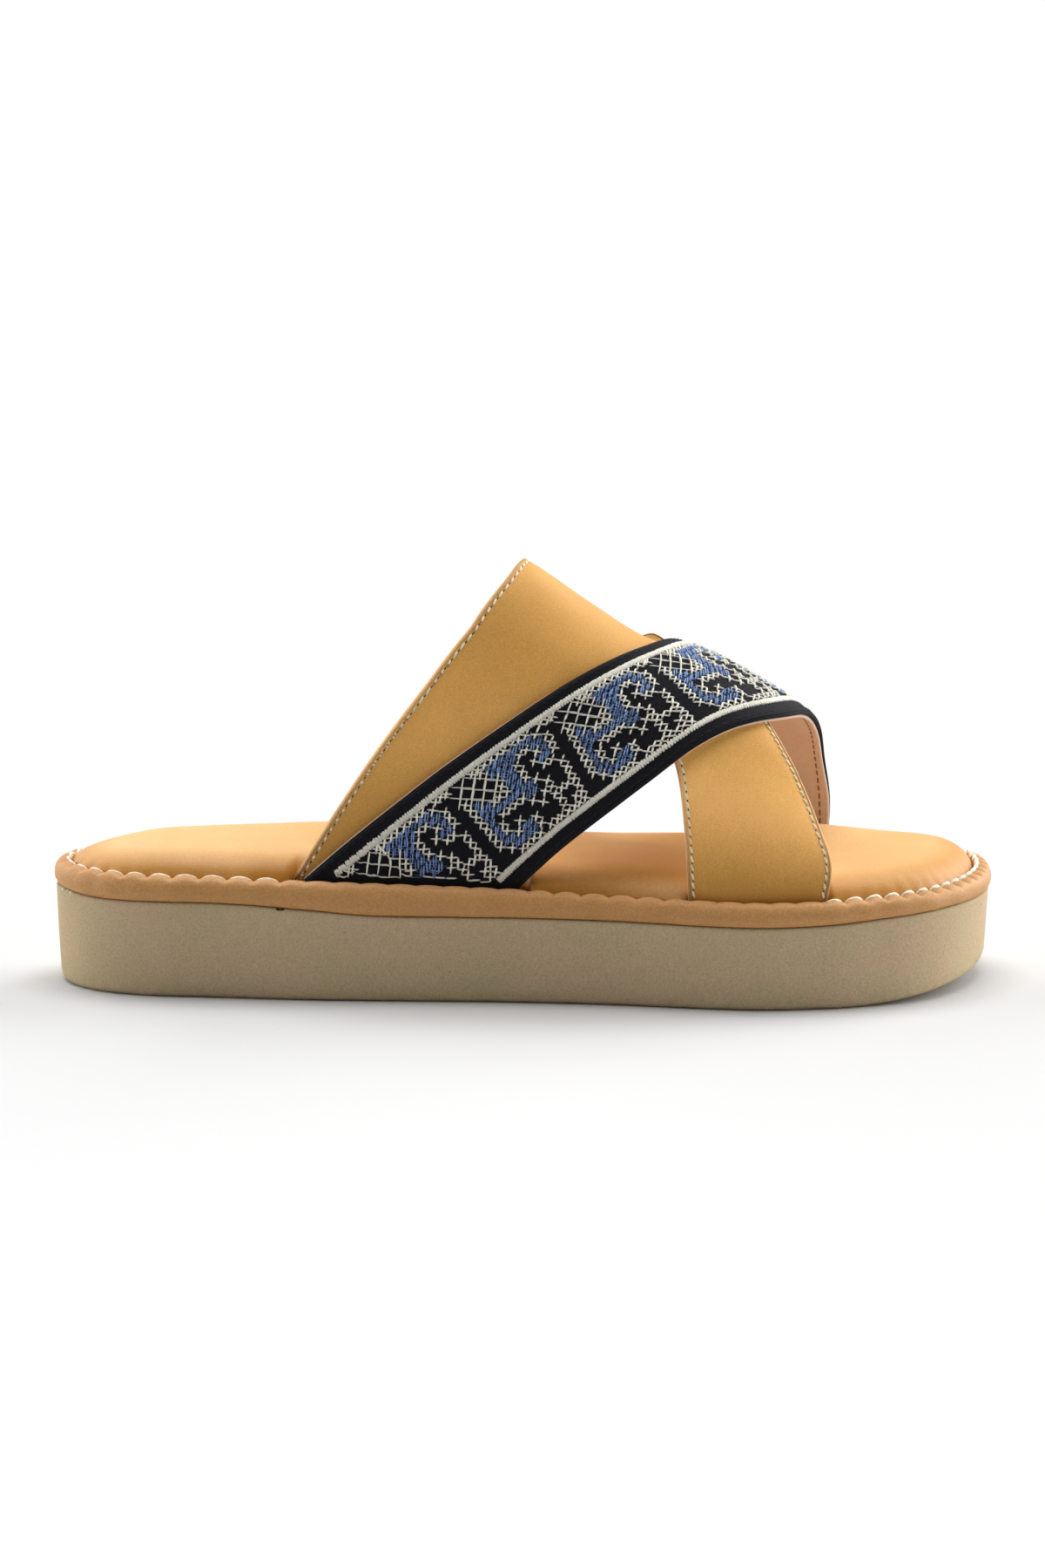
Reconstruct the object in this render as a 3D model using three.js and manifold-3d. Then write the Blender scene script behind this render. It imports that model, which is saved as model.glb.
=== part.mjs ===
// A cross-strap slide sandal on a flat platform, for a right foot.
// Millimetres, +X towards the toe, +Y towards the inner side of the foot, +Z up.
// The origin is on the floor, under the middle of the sandal's outline.
import * as THREE from "three";
import Module from "manifold-3d";

const wasm = await Module();
wasm.setup();

// Outline, measured over the leather rim
const LENGTH = 262;
const BALL_WIDTH = 97.5;
const HEEL_ROUND = 36; // length of the round end at the heel
const TOE_ROUND = 50;
const HEEL_POWER = 2.0; // 2 is an ellipse, more is blunter
const TOE_POWER = 2.2;

// Platform
const SOLE_HEIGHT = 27.2; // at the heel
const TOE_SPRING = 5.5;
const SPRING_START = 0.86; // share of the length where the underside starts to rise
const WALL_DRAFT = 1.2; // how far the wall leans in from top to floor
const FLOOR_EDGE = 2.2; // rounding where wall and underside meet
const TOP_EDGE = 0.6;

// Leather rim around the footbed
const RIM_WIDTH = 5.0;
const RIM_HEIGHT = 6.6;
const RIM_OVERHANG = 0.7; // how far it stands out over the platform's wall

// Padded footbed
const PAD_RISE = 6.2; // crown above the rim's seam
const PAD_SLOPE = 15; // the crown rises over this distance from the seam
const PAD_SEAM_DROP = 0.5; // the pad's edge lies this far below the rim's top
// Extra height under the arch and under the ball of the foot; at is a share of the length
const SUPPORTS = [
  { rise: 3.4, at: 0.4, reach: 34 },
  { rise: 3.0, at: 0.8, reach: 16 },
];
const ARCH_FROM = -0.05; // where it starts and where it is full, as shares of the ball width
const ARCH_TO = 0.25;

// Straps
const LEATHER = 2.2; // tan leather, turned at its edges
const BACKING = 1.2; // leather backing of the embroidered strap
const BAND = 1.3; // embroidered felt
const GAP = 0.3; // between pieces that lie on each other
const FUSE = 0.35; // how far the backing is pressed into the leather below it
const BACKING_SHOWS = 0.5; // the backing's edge stands out past the felt
const FOOT_DEPTH = RIM_HEIGHT - 2 * GAP; // each strap goes down beside the footbed to the platform
const LIP_RISE = 4.2; // pucker of the leather's front edge beside the crossing
const LIP = { from: 0.54, full: 0.61, still: 0.63, to: 0.74, width: 0.35 };
const STEP_DOWN = { from: 0.62, to: 0.86 }; // where the embroidered strap leaves the leather below it

// The arch that the straps stand in, section by section
const INSTEP_HEIGHT = 84; // above the rim, at the middle of the length
const CREST_PLACE = 0.53; // share of the way from the outer to the inner side
const WALL_BULGE = 1.5;
const WALL_SHARE = 0.46; // share of the height over which the walls stand nearly upright
const CREST_FLAT = 0.8; // share of the half width that the crest's roundness takes
const LEGS = { rear: 0.52, front: 0.64 }; // shares of the length between the rear and the front legs

// Sampling
const STATIONS = 36;
const STRAP_COLUMNS = 7; // across each half of the leather
const BAND_COLUMNS = 6;

// Sections of the outline: centre line and half width as shares of the ball width
const OUTLINE = [
  { at: 0.0, centre: 0.0, half: 0.325 },
  { at: 0.13, centre: 0.002, half: 0.326 },
  { at: 0.27, centre: -0.018, half: 0.356 },
  { at: 0.41, centre: -0.023, half: 0.372 },
  { at: 0.5, centre: -0.018, half: 0.392 },
  { at: 0.6, centre: -0.012, half: 0.436 },
  { at: 0.69, centre: -0.02, half: 0.482 },
  { at: 0.75, centre: -0.022, half: 0.5 },
  { at: 0.82, centre: -0.004, half: 0.494 },
  { at: 0.87, centre: 0.018, half: 0.49 },
  { at: 0.92, centre: 0.036, half: 0.49 },
  { at: 0.96, centre: 0.062, half: 0.49 },
  { at: 1.0, centre: 0.11, half: 0.49 },
];

// Platform's top along the length, as shares of its height at the heel
const SOLE_TOP = [
  { at: 0.0, top: 1.015 },
  { at: 0.18, top: 1.0 },
  { at: 0.4, top: 0.949 },
  { at: 0.6, top: 0.882 },
  { at: 0.75, top: 0.853 },
  { at: 0.88, top: 0.868 },
  { at: 1.0, top: 0.904 },
];

// Height of the straps' crest over the rim, as shares of the instep's height
const CREST = [
  { at: 0.3, high: 1.267 },
  { at: 0.42, high: 1.111 },
  { at: 0.503, high: 0.992 },
  { at: 0.565, high: 0.865 },
  { at: 0.626, high: 0.752 },
  { at: 0.686, high: 0.69 },
  { at: 0.735, high: 0.61 },
  { at: 0.775, high: 0.532 },
  { at: 0.82, high: 0.424 },
  { at: 0.9, high: 0.235 },
];

// Rim's cross-section: place from the outer edge and height, as shares of its width and height
const RIM_SECTION = [
  { across: 0.19, up: 0.0 },
  { across: 0.03, up: 0.22 },
  { across: 0.0, up: 0.46 },
  { across: 0.07, up: 0.7 },
  { across: 0.26, up: 0.9 },
  { across: 0.56, up: 1.0 },
  { across: 0.9, up: 0.97 },
  { across: 1.0, up: 0.86 },
  { across: 1.0, up: 0.0 },
];

// Footbed's crown: distance in from its edge and height, as shares of the pad's slope and rise
const PAD_CROWN = [
  { inward: 0.0, up: 0.0 },
  { inward: 0.067, up: 0.26 },
  { inward: 0.173, up: 0.5 },
  { inward: 0.367, up: 0.74 },
  { inward: 0.667, up: 0.89 },
  { inward: 1.0, up: 0.95 },
];
// and from there to the middle line, as a share of the way
const PAD_MIDDLE = [
  { share: 0.45, up: 0.985 },
  { share: 0.85, up: 1.0 },
];

// Tan leather: round is the way over the arch, from the outer side (0) to the inner side (1).
// Its edges, and the window between its two outer legs, as shares of the length.
const LEATHER_CUT = [
  { round: 0.0, rear: 0.259, windowRear: 0.481, windowFront: 0.672, front: 0.816 },
  { round: 0.1, rear: 0.328, windowRear: 0.563, windowFront: 0.668, front: 0.819 },
  { round: 0.2, rear: 0.394, windowRear: 0.614, windowFront: 0.66, front: 0.802 },
  { round: 0.27, rear: 0.432, windowRear: 0.645, windowFront: 0.645, front: 0.786 },
  { round: 0.3, rear: 0.446, windowRear: 0.645, windowFront: 0.645, front: 0.778 },
  { round: 0.4, rear: 0.479, windowRear: 0.63, windowFront: 0.63, front: 0.745 },
  { round: 0.5, rear: 0.495, windowRear: 0.61, windowFront: 0.61, front: 0.695 },
  { round: 0.6, rear: 0.502, windowRear: 0.57, windowFront: 0.57, front: 0.634 },
  { round: 0.7, rear: 0.489, windowRear: 0.545, windowFront: 0.545, front: 0.597 },
  { round: 0.8, rear: 0.454, windowRear: 0.51, windowFront: 0.51, front: 0.57 },
  { round: 0.9, rear: 0.401, windowRear: 0.475, windowFront: 0.475, front: 0.553 },
  { round: 1.0, rear: 0.328, windowRear: 0.435, windowFront: 0.435, front: 0.542 },
];
const WINDOW_TOP = 0.27; // where on the way over the arch the window ends

// Embroidered strap's edges, in the same way
const BAND_CUT = [
  { round: 0.0, rear: 0.271, front: 0.495 },
  { round: 0.1, rear: 0.392, front: 0.579 },
  { round: 0.2, rear: 0.494, front: 0.647 },
  { round: 0.3, rear: 0.562, front: 0.709 },
  { round: 0.4, rear: 0.611, front: 0.763 },
  { round: 0.5, rear: 0.647, front: 0.79 },
  { round: 0.6, rear: 0.674, front: 0.806 },
  { round: 0.7, rear: 0.69, front: 0.817 },
  { round: 0.8, rear: 0.698, front: 0.825 },
  { round: 0.9, rear: 0.7, front: 0.828 },
  { round: 1.0, rear: 0.696, front: 0.828 },
];

// Rows where the straps' walls are sampled, closer over the crest
const ROUNDS = [
  0, 0.04, 0.08, 0.12, 0.16, 0.2, 0.235, 0.27, 0.3, 0.33, 0.36, 0.39, 0.42, 0.45, 0.475,
  0.5, 0.525, 0.55, 0.58, 0.61, 0.64, 0.67, 0.7, 0.74, 0.78, 0.82, 0.86, 0.91, 0.96, 1,
];

const mix = (a, b, share) => a + (b - a) * share;

// 0 below low, 1 above high, and smooth between
const fade = (low, high, value) => THREE.MathUtils.smoothstep(value, low, high);

// Smooth curve through one column of a table, read at a place in another column
function along(table, key, column, place) {
  const last = table.length - 1;
  const x = THREE.MathUtils.clamp(place, table[0][key], table[last][key]);
  let i = 0;
  while (i < last - 1 && x > table[i + 1][key]) i += 1;
  const rate = (a, b) => (table[b][column] - table[a][column]) / (table[b][key] - table[a][key]);
  const slope = (k) => rate(Math.max(k - 1, 0), Math.min(k + 1, last));
  const width = table[i + 1][key] - table[i][key];
  const u = (x - table[i][key]) / width;
  const rise = u * u * (3 - 2 * u);
  return (
    mix(table[i][column], table[i + 1][column], rise) +
    width * u * (1 - u) * ((1 - u) * slope(i) - u * slope(i + 1))
  );
}

// Share of the full width left by the round heel and toe, at a distance from the heel
function endRounding(s) {
  const round = (reach, size, power) =>
    reach >= size ? 1 : Math.max(0, 1 - (1 - reach / size) ** power) ** (1 / power);
  return round(s, HEEL_ROUND, HEEL_POWER) * round(LENGTH - s, TOE_ROUND, TOE_POWER);
}

// Outline's place across the sandal: side is -1 for the outer edge, +1 for the inner one
function rawEdge(s, side) {
  const centre = along(OUTLINE, "at", "centre", s / LENGTH);
  const half = along(OUTLINE, "at", "half", s / LENGTH) * endRounding(s);
  return BALL_WIDTH * (centre + side * half);
}

const stations = Array.from(
  { length: STATIONS + 1 },
  (_, i) => (LENGTH * (1 - Math.cos((Math.PI * i) / STATIONS))) / 2,
);
const outermost = Math.min(...stations.map((s) => rawEdge(s, -1)));
const innermost = Math.max(...stations.map((s) => rawEdge(s, 1)));
const MIDDLE = (outermost + innermost) / 2;

const edge = (s, side) => rawEdge(s, side) - MIDDLE;
const soleTop = (s) => SOLE_HEIGHT * along(SOLE_TOP, "at", "top", s / LENGTH);
const rimTop = (s) => soleTop(s) + RIM_HEIGHT;

function soleBottom(s) {
  const reach = (s / LENGTH - SPRING_START) / (1 - SPRING_START);
  return reach > 0 ? TOE_SPRING * reach * reach : 0;
}

// Points once round the outline, moved inwards: heel, outer side, toe, inner side
function outlineRing(inset) {
  const outer = stations.map((s) => new THREE.Vector2(s, edge(s, -1)));
  const inner = stations.slice(1, -1).map((s) => new THREE.Vector2(s, edge(s, 1)));
  const ring = [...outer, ...inner.reverse()];
  return ring.map((point, i) => {
    const before = ring.at(i - 1);
    const after = ring[(i + 1) % ring.length];
    const travel = after.clone().sub(before).normalize();
    return new THREE.Vector2(point.x - travel.y * inset, point.y + travel.x * inset);
  });
}

// A ring's points in the part's frame, at heights given by a function of the distance from the heel
function lift(ring, height) {
  return ring.map((p) => {
    const s = THREE.MathUtils.clamp(p.x, 0, LENGTH);
    return new THREE.Vector3(p.x - LENGTH / 2, p.y, height(s, p.y));
  });
}

// Ring moved a share of the way to the sandal's middle line
function towardsMiddle(ring, share) {
  const count = ring.length;
  return ring.map((p, i) => {
    const across = ring[(count - i) % count];
    const x = THREE.MathUtils.clamp((p.x + across.x) / 2, HEEL_ROUND, LENGTH - TOE_ROUND);
    return p.clone().lerp(new THREE.Vector2(x, (p.y + across.y) / 2), share);
  });
}

function geometryFrom(points, triangles) {
  const geometry = new THREE.BufferGeometry();
  const numbers = new Float32Array(points.flatMap((p) => [p.x, p.y, p.z]));
  geometry.setAttribute("position", new THREE.BufferAttribute(numbers, 3));
  geometry.setIndex(triangles);
  return geometry;
}

// Triangles between two neighbouring rings of one length
function wallBetween(lower, upper, count) {
  const triangles = [];
  for (let i = 0; i < count; i += 1) {
    const j = (i + 1) % count;
    triangles.push(lower + i, lower + j, upper + j, lower + i, upper + j, upper + i);
  }
  return triangles;
}

// Closes a ring by strips that run across the sandal
function ladderCap(start, count, up) {
  const triangles = [];
  const add = (a, b, c) => triangles.push(...(up ? [a, b, c] : [a, c, b]));
  const half = count / 2;
  const outer = (i) => start + i;
  const inner = (i) => start + ((count - i) % count);
  add(outer(0), outer(1), inner(1));
  for (let i = 1; i < half - 1; i += 1) {
    add(outer(i), outer(i + 1), inner(i + 1));
    add(outer(i), inner(i + 1), inner(i));
  }
  add(outer(half - 1), outer(half), inner(half - 1));
  return triangles;
}

// Closed solid from a stack of rings, the first below and the last on top
function stack(rings) {
  const count = rings[0].length;
  const triangles = ladderCap(0, count, false);
  for (let k = 0; k < rings.length - 1; k += 1) {
    triangles.push(...wallBetween(k * count, (k + 1) * count, count));
  }
  triangles.push(...ladderCap((rings.length - 1) * count, count, true));
  return geometryFrom(rings.flat(), triangles);
}

// Closed band from rings that follow each other round its cross-section
function hoop(rings) {
  const count = rings[0].length;
  const triangles = rings.flatMap((_, k) =>
    wallBetween(k * count, ((k + 1) % rings.length) * count, count),
  );
  return geometryFrom(rings.flat(), triangles);
}

function platform() {
  const level = (inset, share, extra = 0) =>
    lift(outlineRing(inset), (s) => mix(soleBottom(s), soleTop(s), share) + extra);
  const foot = RIM_OVERHANG + WALL_DRAFT;
  const corner = (1 - Math.SQRT1_2) * FLOOR_EDGE;
  return stack([
    level(foot + FLOOR_EDGE, 0),
    level(foot + corner, 0, corner),
    level(foot, 0, FLOOR_EDGE),
    level(RIM_OVERHANG + WALL_DRAFT / 3, 0.5),
    level(RIM_OVERHANG, 1, -TOP_EDGE),
    level(RIM_OVERHANG + TOP_EDGE, 1),
  ]);
}

function rim() {
  return hoop(
    RIM_SECTION.map(({ across, up }) =>
      lift(outlineRing(across * RIM_WIDTH), (s) => mix(soleTop(s) + GAP, rimTop(s), up)),
    ),
  );
}

// Extra height of the footbed on its inner side
function support(s, y) {
  const rises = SUPPORTS.map(({ rise, at, reach }) => rise * Math.exp(-(((s - at * LENGTH) / reach) ** 2)));
  return rises.reduce((sum, rise) => sum + rise, 0) * fade(ARCH_FROM, ARCH_TO, y / BALL_WIDTH);
}

function padHeight(up) {
  return (s, y) => rimTop(s) - PAD_SEAM_DROP + (PAD_RISE + PAD_SEAM_DROP + support(s, y)) * up;
}

function footbed() {
  const side = RIM_WIDTH + GAP;
  const crown = PAD_CROWN.map(({ inward, up }) =>
    lift(outlineRing(side + inward * PAD_SLOPE), padHeight(up)),
  );
  const slopeEnd = outlineRing(side + PAD_SLOPE);
  return stack([
    lift(outlineRing(side), (s) => soleTop(s) + GAP),
    ...crown,
    ...PAD_MIDDLE.map(({ share, up }) => lift(towardsMiddle(slopeEnd, share), padHeight(up))),
  ]);
}

// Thickness of what stands beside the rim at each leg
const REAR_STACK = LEATHER - FUSE + BACKING + GAP + BAND;
const FRONT_STACK = BACKING + GAP + BAND;
const legsMeet = (s) => fade(LEGS.rear, LEGS.front, s / LENGTH);

// A point of the arch's inner face, and below it of the straight feet
function archPoint(s, round) {
  const outer = edge(s, -1) + RIM_WIDTH + 2 * GAP + mix(REAR_STACK, LEATHER, legsMeet(s));
  const inner = edge(s, 1) - RIM_WIDTH - 2 * GAP - mix(LEATHER, FRONT_STACK, legsMeet(s));
  const base = rimTop(s);
  const x = s - LENGTH / 2;
  const depth = FOOT_DEPTH / ROUNDS[1];
  if (round < 0) return new THREE.Vector3(x, outer, base + round * depth);
  if (round > 1) return new THREE.Vector3(x, inner, base - (round - 1) * depth);
  const height = INSTEP_HEIGHT * along(CREST, "at", "high", s / LENGTH);
  const crest = mix(outer, inner, CREST_PLACE);
  const [foot, side, u] = round <= 0.5 ? [outer, -1, 2 * round] : [inner, 1, 2 - 2 * round];
  const curve = new THREE.CubicBezierCurve(
    new THREE.Vector2(foot, base),
    new THREE.Vector2(foot + side * WALL_BULGE, base + WALL_SHARE * height),
    new THREE.Vector2(crest + side * CREST_FLAT * Math.abs(foot - crest), base + height),
    new THREE.Vector2(crest, base + height),
  );
  const section = curve.getPoint(u);
  return new THREE.Vector3(x, section.x, section.y);
}

// The same point moved outwards, square to the arch
function raised(s, round, distance) {
  const STEP = 1e-3;
  const near = THREE.MathUtils.clamp(round, 2 * STEP, 1 - 2 * STEP);
  const forward = archPoint(s + 0.1, near).sub(archPoint(s - 0.1, near));
  const over = archPoint(s, near + STEP).sub(archPoint(s, near - STEP));
  const outwards = forward.cross(over).normalize();
  return archPoint(s, round).addScaledVector(outwards, distance);
}

// Closed wall over a sheet of cells: each vertex has a place on the arch and its own height
function wallOver(vertices, cells, inner, outer) {
  const at = (v, distance) => raised(v.s, v.round, distance(v));
  const points = [...vertices.map((v) => at(v, outer)), ...vertices.map((v) => at(v, inner))];
  const count = vertices.length;
  const rimEdges = new Map();
  const triangles = [];
  for (const [a, b, c, d] of cells) {
    triangles.push(a, b, c, a, c, d);
    triangles.push(count + a, count + c, count + b, count + a, count + d, count + c);
    for (const [from, to] of [[a, b], [b, c], [c, d], [d, a]]) {
      if (!rimEdges.delete(`${to},${from}`)) rimEdges.set(`${from},${to}`, [from, to]);
    }
  }
  for (const [from, to] of rimEdges.values()) {
    triangles.push(from, count + from, count + to, from, count + to, to);
  }
  return geometryFrom(points, triangles);
}

// Rows of vertices over the arch, with a foot row below each end
const STRAP_ROWS = [-ROUNDS[1], ...ROUNDS, 1 + ROUNDS[1]];

// Sheet between edges given as functions of the way over the arch, with named columns
function strip(rows, columns, rear, front) {
  const vertices = [];
  for (const round of rows) {
    for (let j = 0; j <= columns; j += 1) {
      const place = THREE.MathUtils.clamp(round, 0, 1);
      vertices.push({ s: mix(rear(place), front(place), j / columns), round, column: j / columns });
    }
  }
  const cells = [];
  for (let i = 0; i < rows.length - 1; i += 1) {
    for (let j = 0; j < columns; j += 1) {
      const a = i * (columns + 1) + j;
      cells.push([a, a + 1, a + columns + 2, a + columns + 1]);
    }
  }
  return { vertices, cells };
}

const cutOf = (table, column) => (round) => LENGTH * along(table, "round", column, round);

// The tan leather's sheet: a rear half and a front half, joined above the window
function leatherSheet(rows, margin = 0) {
  const cut = (column, shift) => (round) => cutOf(LEATHER_CUT, column)(round) + shift * margin;
  const rear = strip(rows, STRAP_COLUMNS, cut("rear", -1), cut("windowRear", 1));
  const front = strip(rows, STRAP_COLUMNS, cut("windowFront", -1), cut("front", 1));
  const vertices = [...rear.vertices, ...front.vertices];
  const width = STRAP_COLUMNS + 1;
  const shift = rear.vertices.length;
  const joined = (v) => {
    const row = Math.floor((v - shift) / width);
    const isSeam = v >= shift && (v - shift) % width === 0 && rows[row] >= WINDOW_TOP;
    return isSeam ? row * width + STRAP_COLUMNS : v;
  };
  const frontCells = front.cells.map((cell) => cell.map((v) => joined(v + shift)));
  vertices.slice(shift).forEach((v) => {
    v.isFront = true;
  });
  return pruned(vertices, [...rear.cells, ...frontCells]);
}

// Leaves out the vertices that no cell uses
function pruned(vertices, cells) {
  const used = [...new Set(cells.flat())].sort((a, b) => a - b);
  const place = new Map(used.map((v, i) => [v, i]));
  return {
    vertices: used.map((v) => vertices[v]),
    cells: cells.map((cell) => cell.map((v) => place.get(v))),
  };
}

// Pucker of the leather's front edge where it comes out from under the embroidered strap
function lip(v) {
  if (!v.isFront) return 0;
  const along = fade(LIP.from, LIP.full, v.round) * (1 - fade(LIP.still, LIP.to, v.round));
  return LIP_RISE * fade(1 - LIP.width, 1, v.column) * along;
}

// How far the embroidered strap lies off the arch: over the leather, then down to it
const laid = (v) => (LEATHER - FUSE) * (1 - fade(STEP_DOWN.from, STEP_DOWN.to, v.round));

const bandSheet = (rows, margin) =>
  strip(
    rows,
    BAND_COLUMNS,
    (round) => cutOf(BAND_CUT, "rear")(round) - margin,
    (round) => cutOf(BAND_CUT, "front")(round) + margin,
  );

function leather() {
  const { vertices, cells } = leatherSheet(STRAP_ROWS);
  return wallOver(vertices, cells, lip, (v) => LEATHER + lip(v));
}

function backing() {
  const { vertices, cells } = bandSheet(STRAP_ROWS, BACKING_SHOWS);
  return wallOver(vertices, cells, laid, (v) => laid(v) + BACKING);
}

function embroideredBand() {
  const { vertices, cells } = bandSheet(STRAP_ROWS, 0);
  const below = (v) => laid(v) + BACKING + GAP;
  return wallOver(vertices, cells, below, (v) => below(v) + BAND);
}

// Room for the straps' feet in the footbed, open to the rim
const FEET_ROUNDS = [ROUNDS[0], ROUNDS[2], ROUNDS[4]];
const OPEN_TO_RIM = 2;

function footSlots() {
  const foot = ROUNDS[1] * (1 + GAP / FOOT_DEPTH);
  const ends = [
    [-foot, ...FEET_ROUNDS],
    [...FEET_ROUNDS.map((round) => 1 - round).reverse(), 1 + foot],
  ];
  const beyond = REAR_STACK + OPEN_TO_RIM;
  const slots = [];
  for (const rows of ends) {
    for (const sheet of [leatherSheet(rows, GAP), bandSheet(rows, BACKING_SHOWS + GAP)]) {
      slots.push(...solids(wallOver(sheet.vertices, sheet.cells, () => -GAP, () => beyond)));
    }
  }
  return slots;
}

function solids(geometry) {
  const mesh = new wasm.Mesh({
    numProp: 3,
    vertProperties: geometry.getAttribute("position").array,
    triVerts: new Uint32Array(geometry.getIndex().array),
  });
  return new wasm.Manifold(mesh).decompose();
}

function geometryOf(solid) {
  const { vertProperties, triVerts } = solid.getMesh();
  const geometry = new THREE.BufferGeometry();
  geometry.setAttribute("position", new THREE.BufferAttribute(vertProperties, 3));
  geometry.setIndex(new THREE.BufferAttribute(triVerts, 1));
  return geometry;
}

function upper() {
  const [leatherSolid] = solids(leather());
  const [backingSolid] = solids(backing());
  return geometryOf(leatherSolid.add(backingSolid));
}

function slottedFootbed() {
  const [pad] = solids(footbed());
  return geometryOf(footSlots().reduce((rest, slot) => rest.subtract(slot), pad));
}

const sandal = new THREE.Group();
sandal.name = "cross_strap_sandal";

function addPiece(name, geometry, color, roughness) {
  const material = new THREE.MeshStandardMaterial({ color, roughness, metalness: 0 });
  const piece = new THREE.Mesh(geometry, material);
  piece.name = name;
  sandal.add(piece);
}

addPiece("platform_sole", platform(), 0xb9a385, 0.85);
addPiece("leather_rim", rim(), 0xc48e55, 0.6);
addPiece("footbed", slottedFootbed(), 0xd39a5c, 0.65);
addPiece("strap_upper", upper(), 0xc0924f, 0.55);
addPiece("embroidered_band", embroideredBand(), 0x14151f, 0.9);

export default sandal;
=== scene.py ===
"""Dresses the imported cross-strap sandal: foam platform, stitched leather rim, padded footbed,
leather straps and the embroidered strap. All lengths are in metres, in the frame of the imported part."""

import math

import bpy
import numpy as np
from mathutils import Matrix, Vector


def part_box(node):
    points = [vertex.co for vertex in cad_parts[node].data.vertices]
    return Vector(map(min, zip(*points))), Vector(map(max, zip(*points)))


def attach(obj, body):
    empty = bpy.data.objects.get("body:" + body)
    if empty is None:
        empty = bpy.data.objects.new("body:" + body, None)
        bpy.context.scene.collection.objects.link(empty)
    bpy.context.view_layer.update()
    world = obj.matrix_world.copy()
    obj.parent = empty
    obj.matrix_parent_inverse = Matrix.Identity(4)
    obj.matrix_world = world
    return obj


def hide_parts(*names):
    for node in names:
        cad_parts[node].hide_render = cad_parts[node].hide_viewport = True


bl_info = {
    "name": "Cross-strap sandal",
    "version": (1, 0, 0),
    "blender": (4, 5, 0),
    "location": "View3D > Sidebar > Sandal",
    "description": "Builds a platform slide with crossed straps, one of them embroidered",
    "category": "Add Mesh",
}

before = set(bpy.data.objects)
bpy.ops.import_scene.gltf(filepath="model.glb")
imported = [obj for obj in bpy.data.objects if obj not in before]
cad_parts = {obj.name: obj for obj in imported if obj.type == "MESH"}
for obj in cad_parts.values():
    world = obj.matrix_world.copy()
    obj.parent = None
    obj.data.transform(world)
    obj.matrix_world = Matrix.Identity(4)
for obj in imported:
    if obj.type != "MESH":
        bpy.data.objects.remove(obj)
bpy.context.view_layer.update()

MM = 0.001
RIM_LOW, RIM_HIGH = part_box("leather_rim")

# Outline, measured over the leather rim
LENGTH = RIM_HIGH.x - RIM_LOW.x
BALL_WIDTH = 97.5 * MM
HEEL_ROUND, HEEL_POWER = 36 * MM, 2.0
TOE_ROUND, TOE_POWER = 50 * MM, 2.2

# Platform
SOLE_HEIGHT = 27.2 * MM
TOE_SPRING = 5.5 * MM
SPRING_START = 0.84
SPRING_POWER = 1.6
WALL_DRAFT = 1.2 * MM
FLOOR_EDGE = 2.2 * MM
TOP_EDGE = 0.6 * MM

# Rim and footbed
RIM_WIDTH = 5.0 * MM
RIM_HEIGHT = 6.6 * MM
RIM_OVERHANG = 0.7 * MM
PAD_RISE = 6.2 * MM
PAD_SLOPE = 15 * MM
PAD_SEAM_DROP = 0.5 * MM
HEEL_DROP = 2.3 * MM  # how much lower the footbed lies at its heel end
FOOT_ROOM = 1.2 * MM  # the footbed is pressed in this far past both ends of a strap's foot
ARCH_FROM, ARCH_TO = -0.05, 0.25  # the supports rise between these shares of the ball width

# Number of points round the outline and along it
RING_POINTS = 1500
CAD_STATIONS = 36

# Straps: thicknesses, and how far the leather and the backing are pressed together
LEATHER = 2.2 * MM
BACKING = 1.2 * MM
BAND = 1.3 * MM
GAP = 0.3 * MM
FUSE = 0.35 * MM
# How far the layers of the embroidered strap reach past its cut
BACKING_REAR = 0.2 * MM
BACKING_FRONT = 0.25 * MM
FELT_FRONT = 0.5 * MM
INNER_LEG_WIDER = 0.9 * MM
# The straps' feet below the rim's top, and what they take of the way over the arch
FOOT_DEPTH = RIM_HEIGHT - 2 * GAP
FOOT_ROUND = 0.04
LIP_RISE = 4.2 * MM
LIP = {"start": 0.54, "full": 0.61, "still": 0.63, "end": 0.74, "width": 0.35}
STEP_DOWN = (0.62, 0.86)
# The arch that the straps stand in
INSTEP_HEIGHT = 84 * MM
CREST_PLACE = 0.53
WALL_BULGE = 1.5 * MM
WALL_SHARE = 0.46
CREST_FLAT = 0.8
LEGS = (0.52, 0.64)
REAR_STACK = LEATHER - FUSE + BACKING + GAP + BAND
FRONT_STACK = BACKING + GAP + BAND
WINDOW_TOP = 0.27

# Sections along the length: centre line and half width as shares of the ball width
OUTLINE = {
    "at": (0.0, 0.13, 0.27, 0.41, 0.5, 0.6, 0.69, 0.75, 0.82, 0.87, 0.92, 0.96, 1.0),
    "centre": (0, 0.002, -0.018, -0.023, -0.018, -0.012, -0.02, -0.022, -0.004, 0.018, 0.036, 0.062, 0.11),
    "half": (0.325, 0.326, 0.356, 0.372, 0.392, 0.436, 0.482, 0.5, 0.494, 0.49, 0.49, 0.49, 0.49),
}
# Platform's top, as shares of its height at the heel
SOLE_TOP = {
    "at": (0.0, 0.18, 0.4, 0.6, 0.75, 0.88, 1.0),
    "top": (1.015, 1.0, 0.949, 0.882, 0.853, 0.868, 0.904),
}
# Straps' crest over the rim, as shares of the instep's height
CREST = {
    "at": (0.3, 0.42, 0.503, 0.565, 0.626, 0.686, 0.735, 0.775, 0.82, 0.9),
    "high": (1.267, 1.111, 0.992, 0.865, 0.752, 0.69, 0.61, 0.532, 0.424, 0.235),
}
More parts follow.
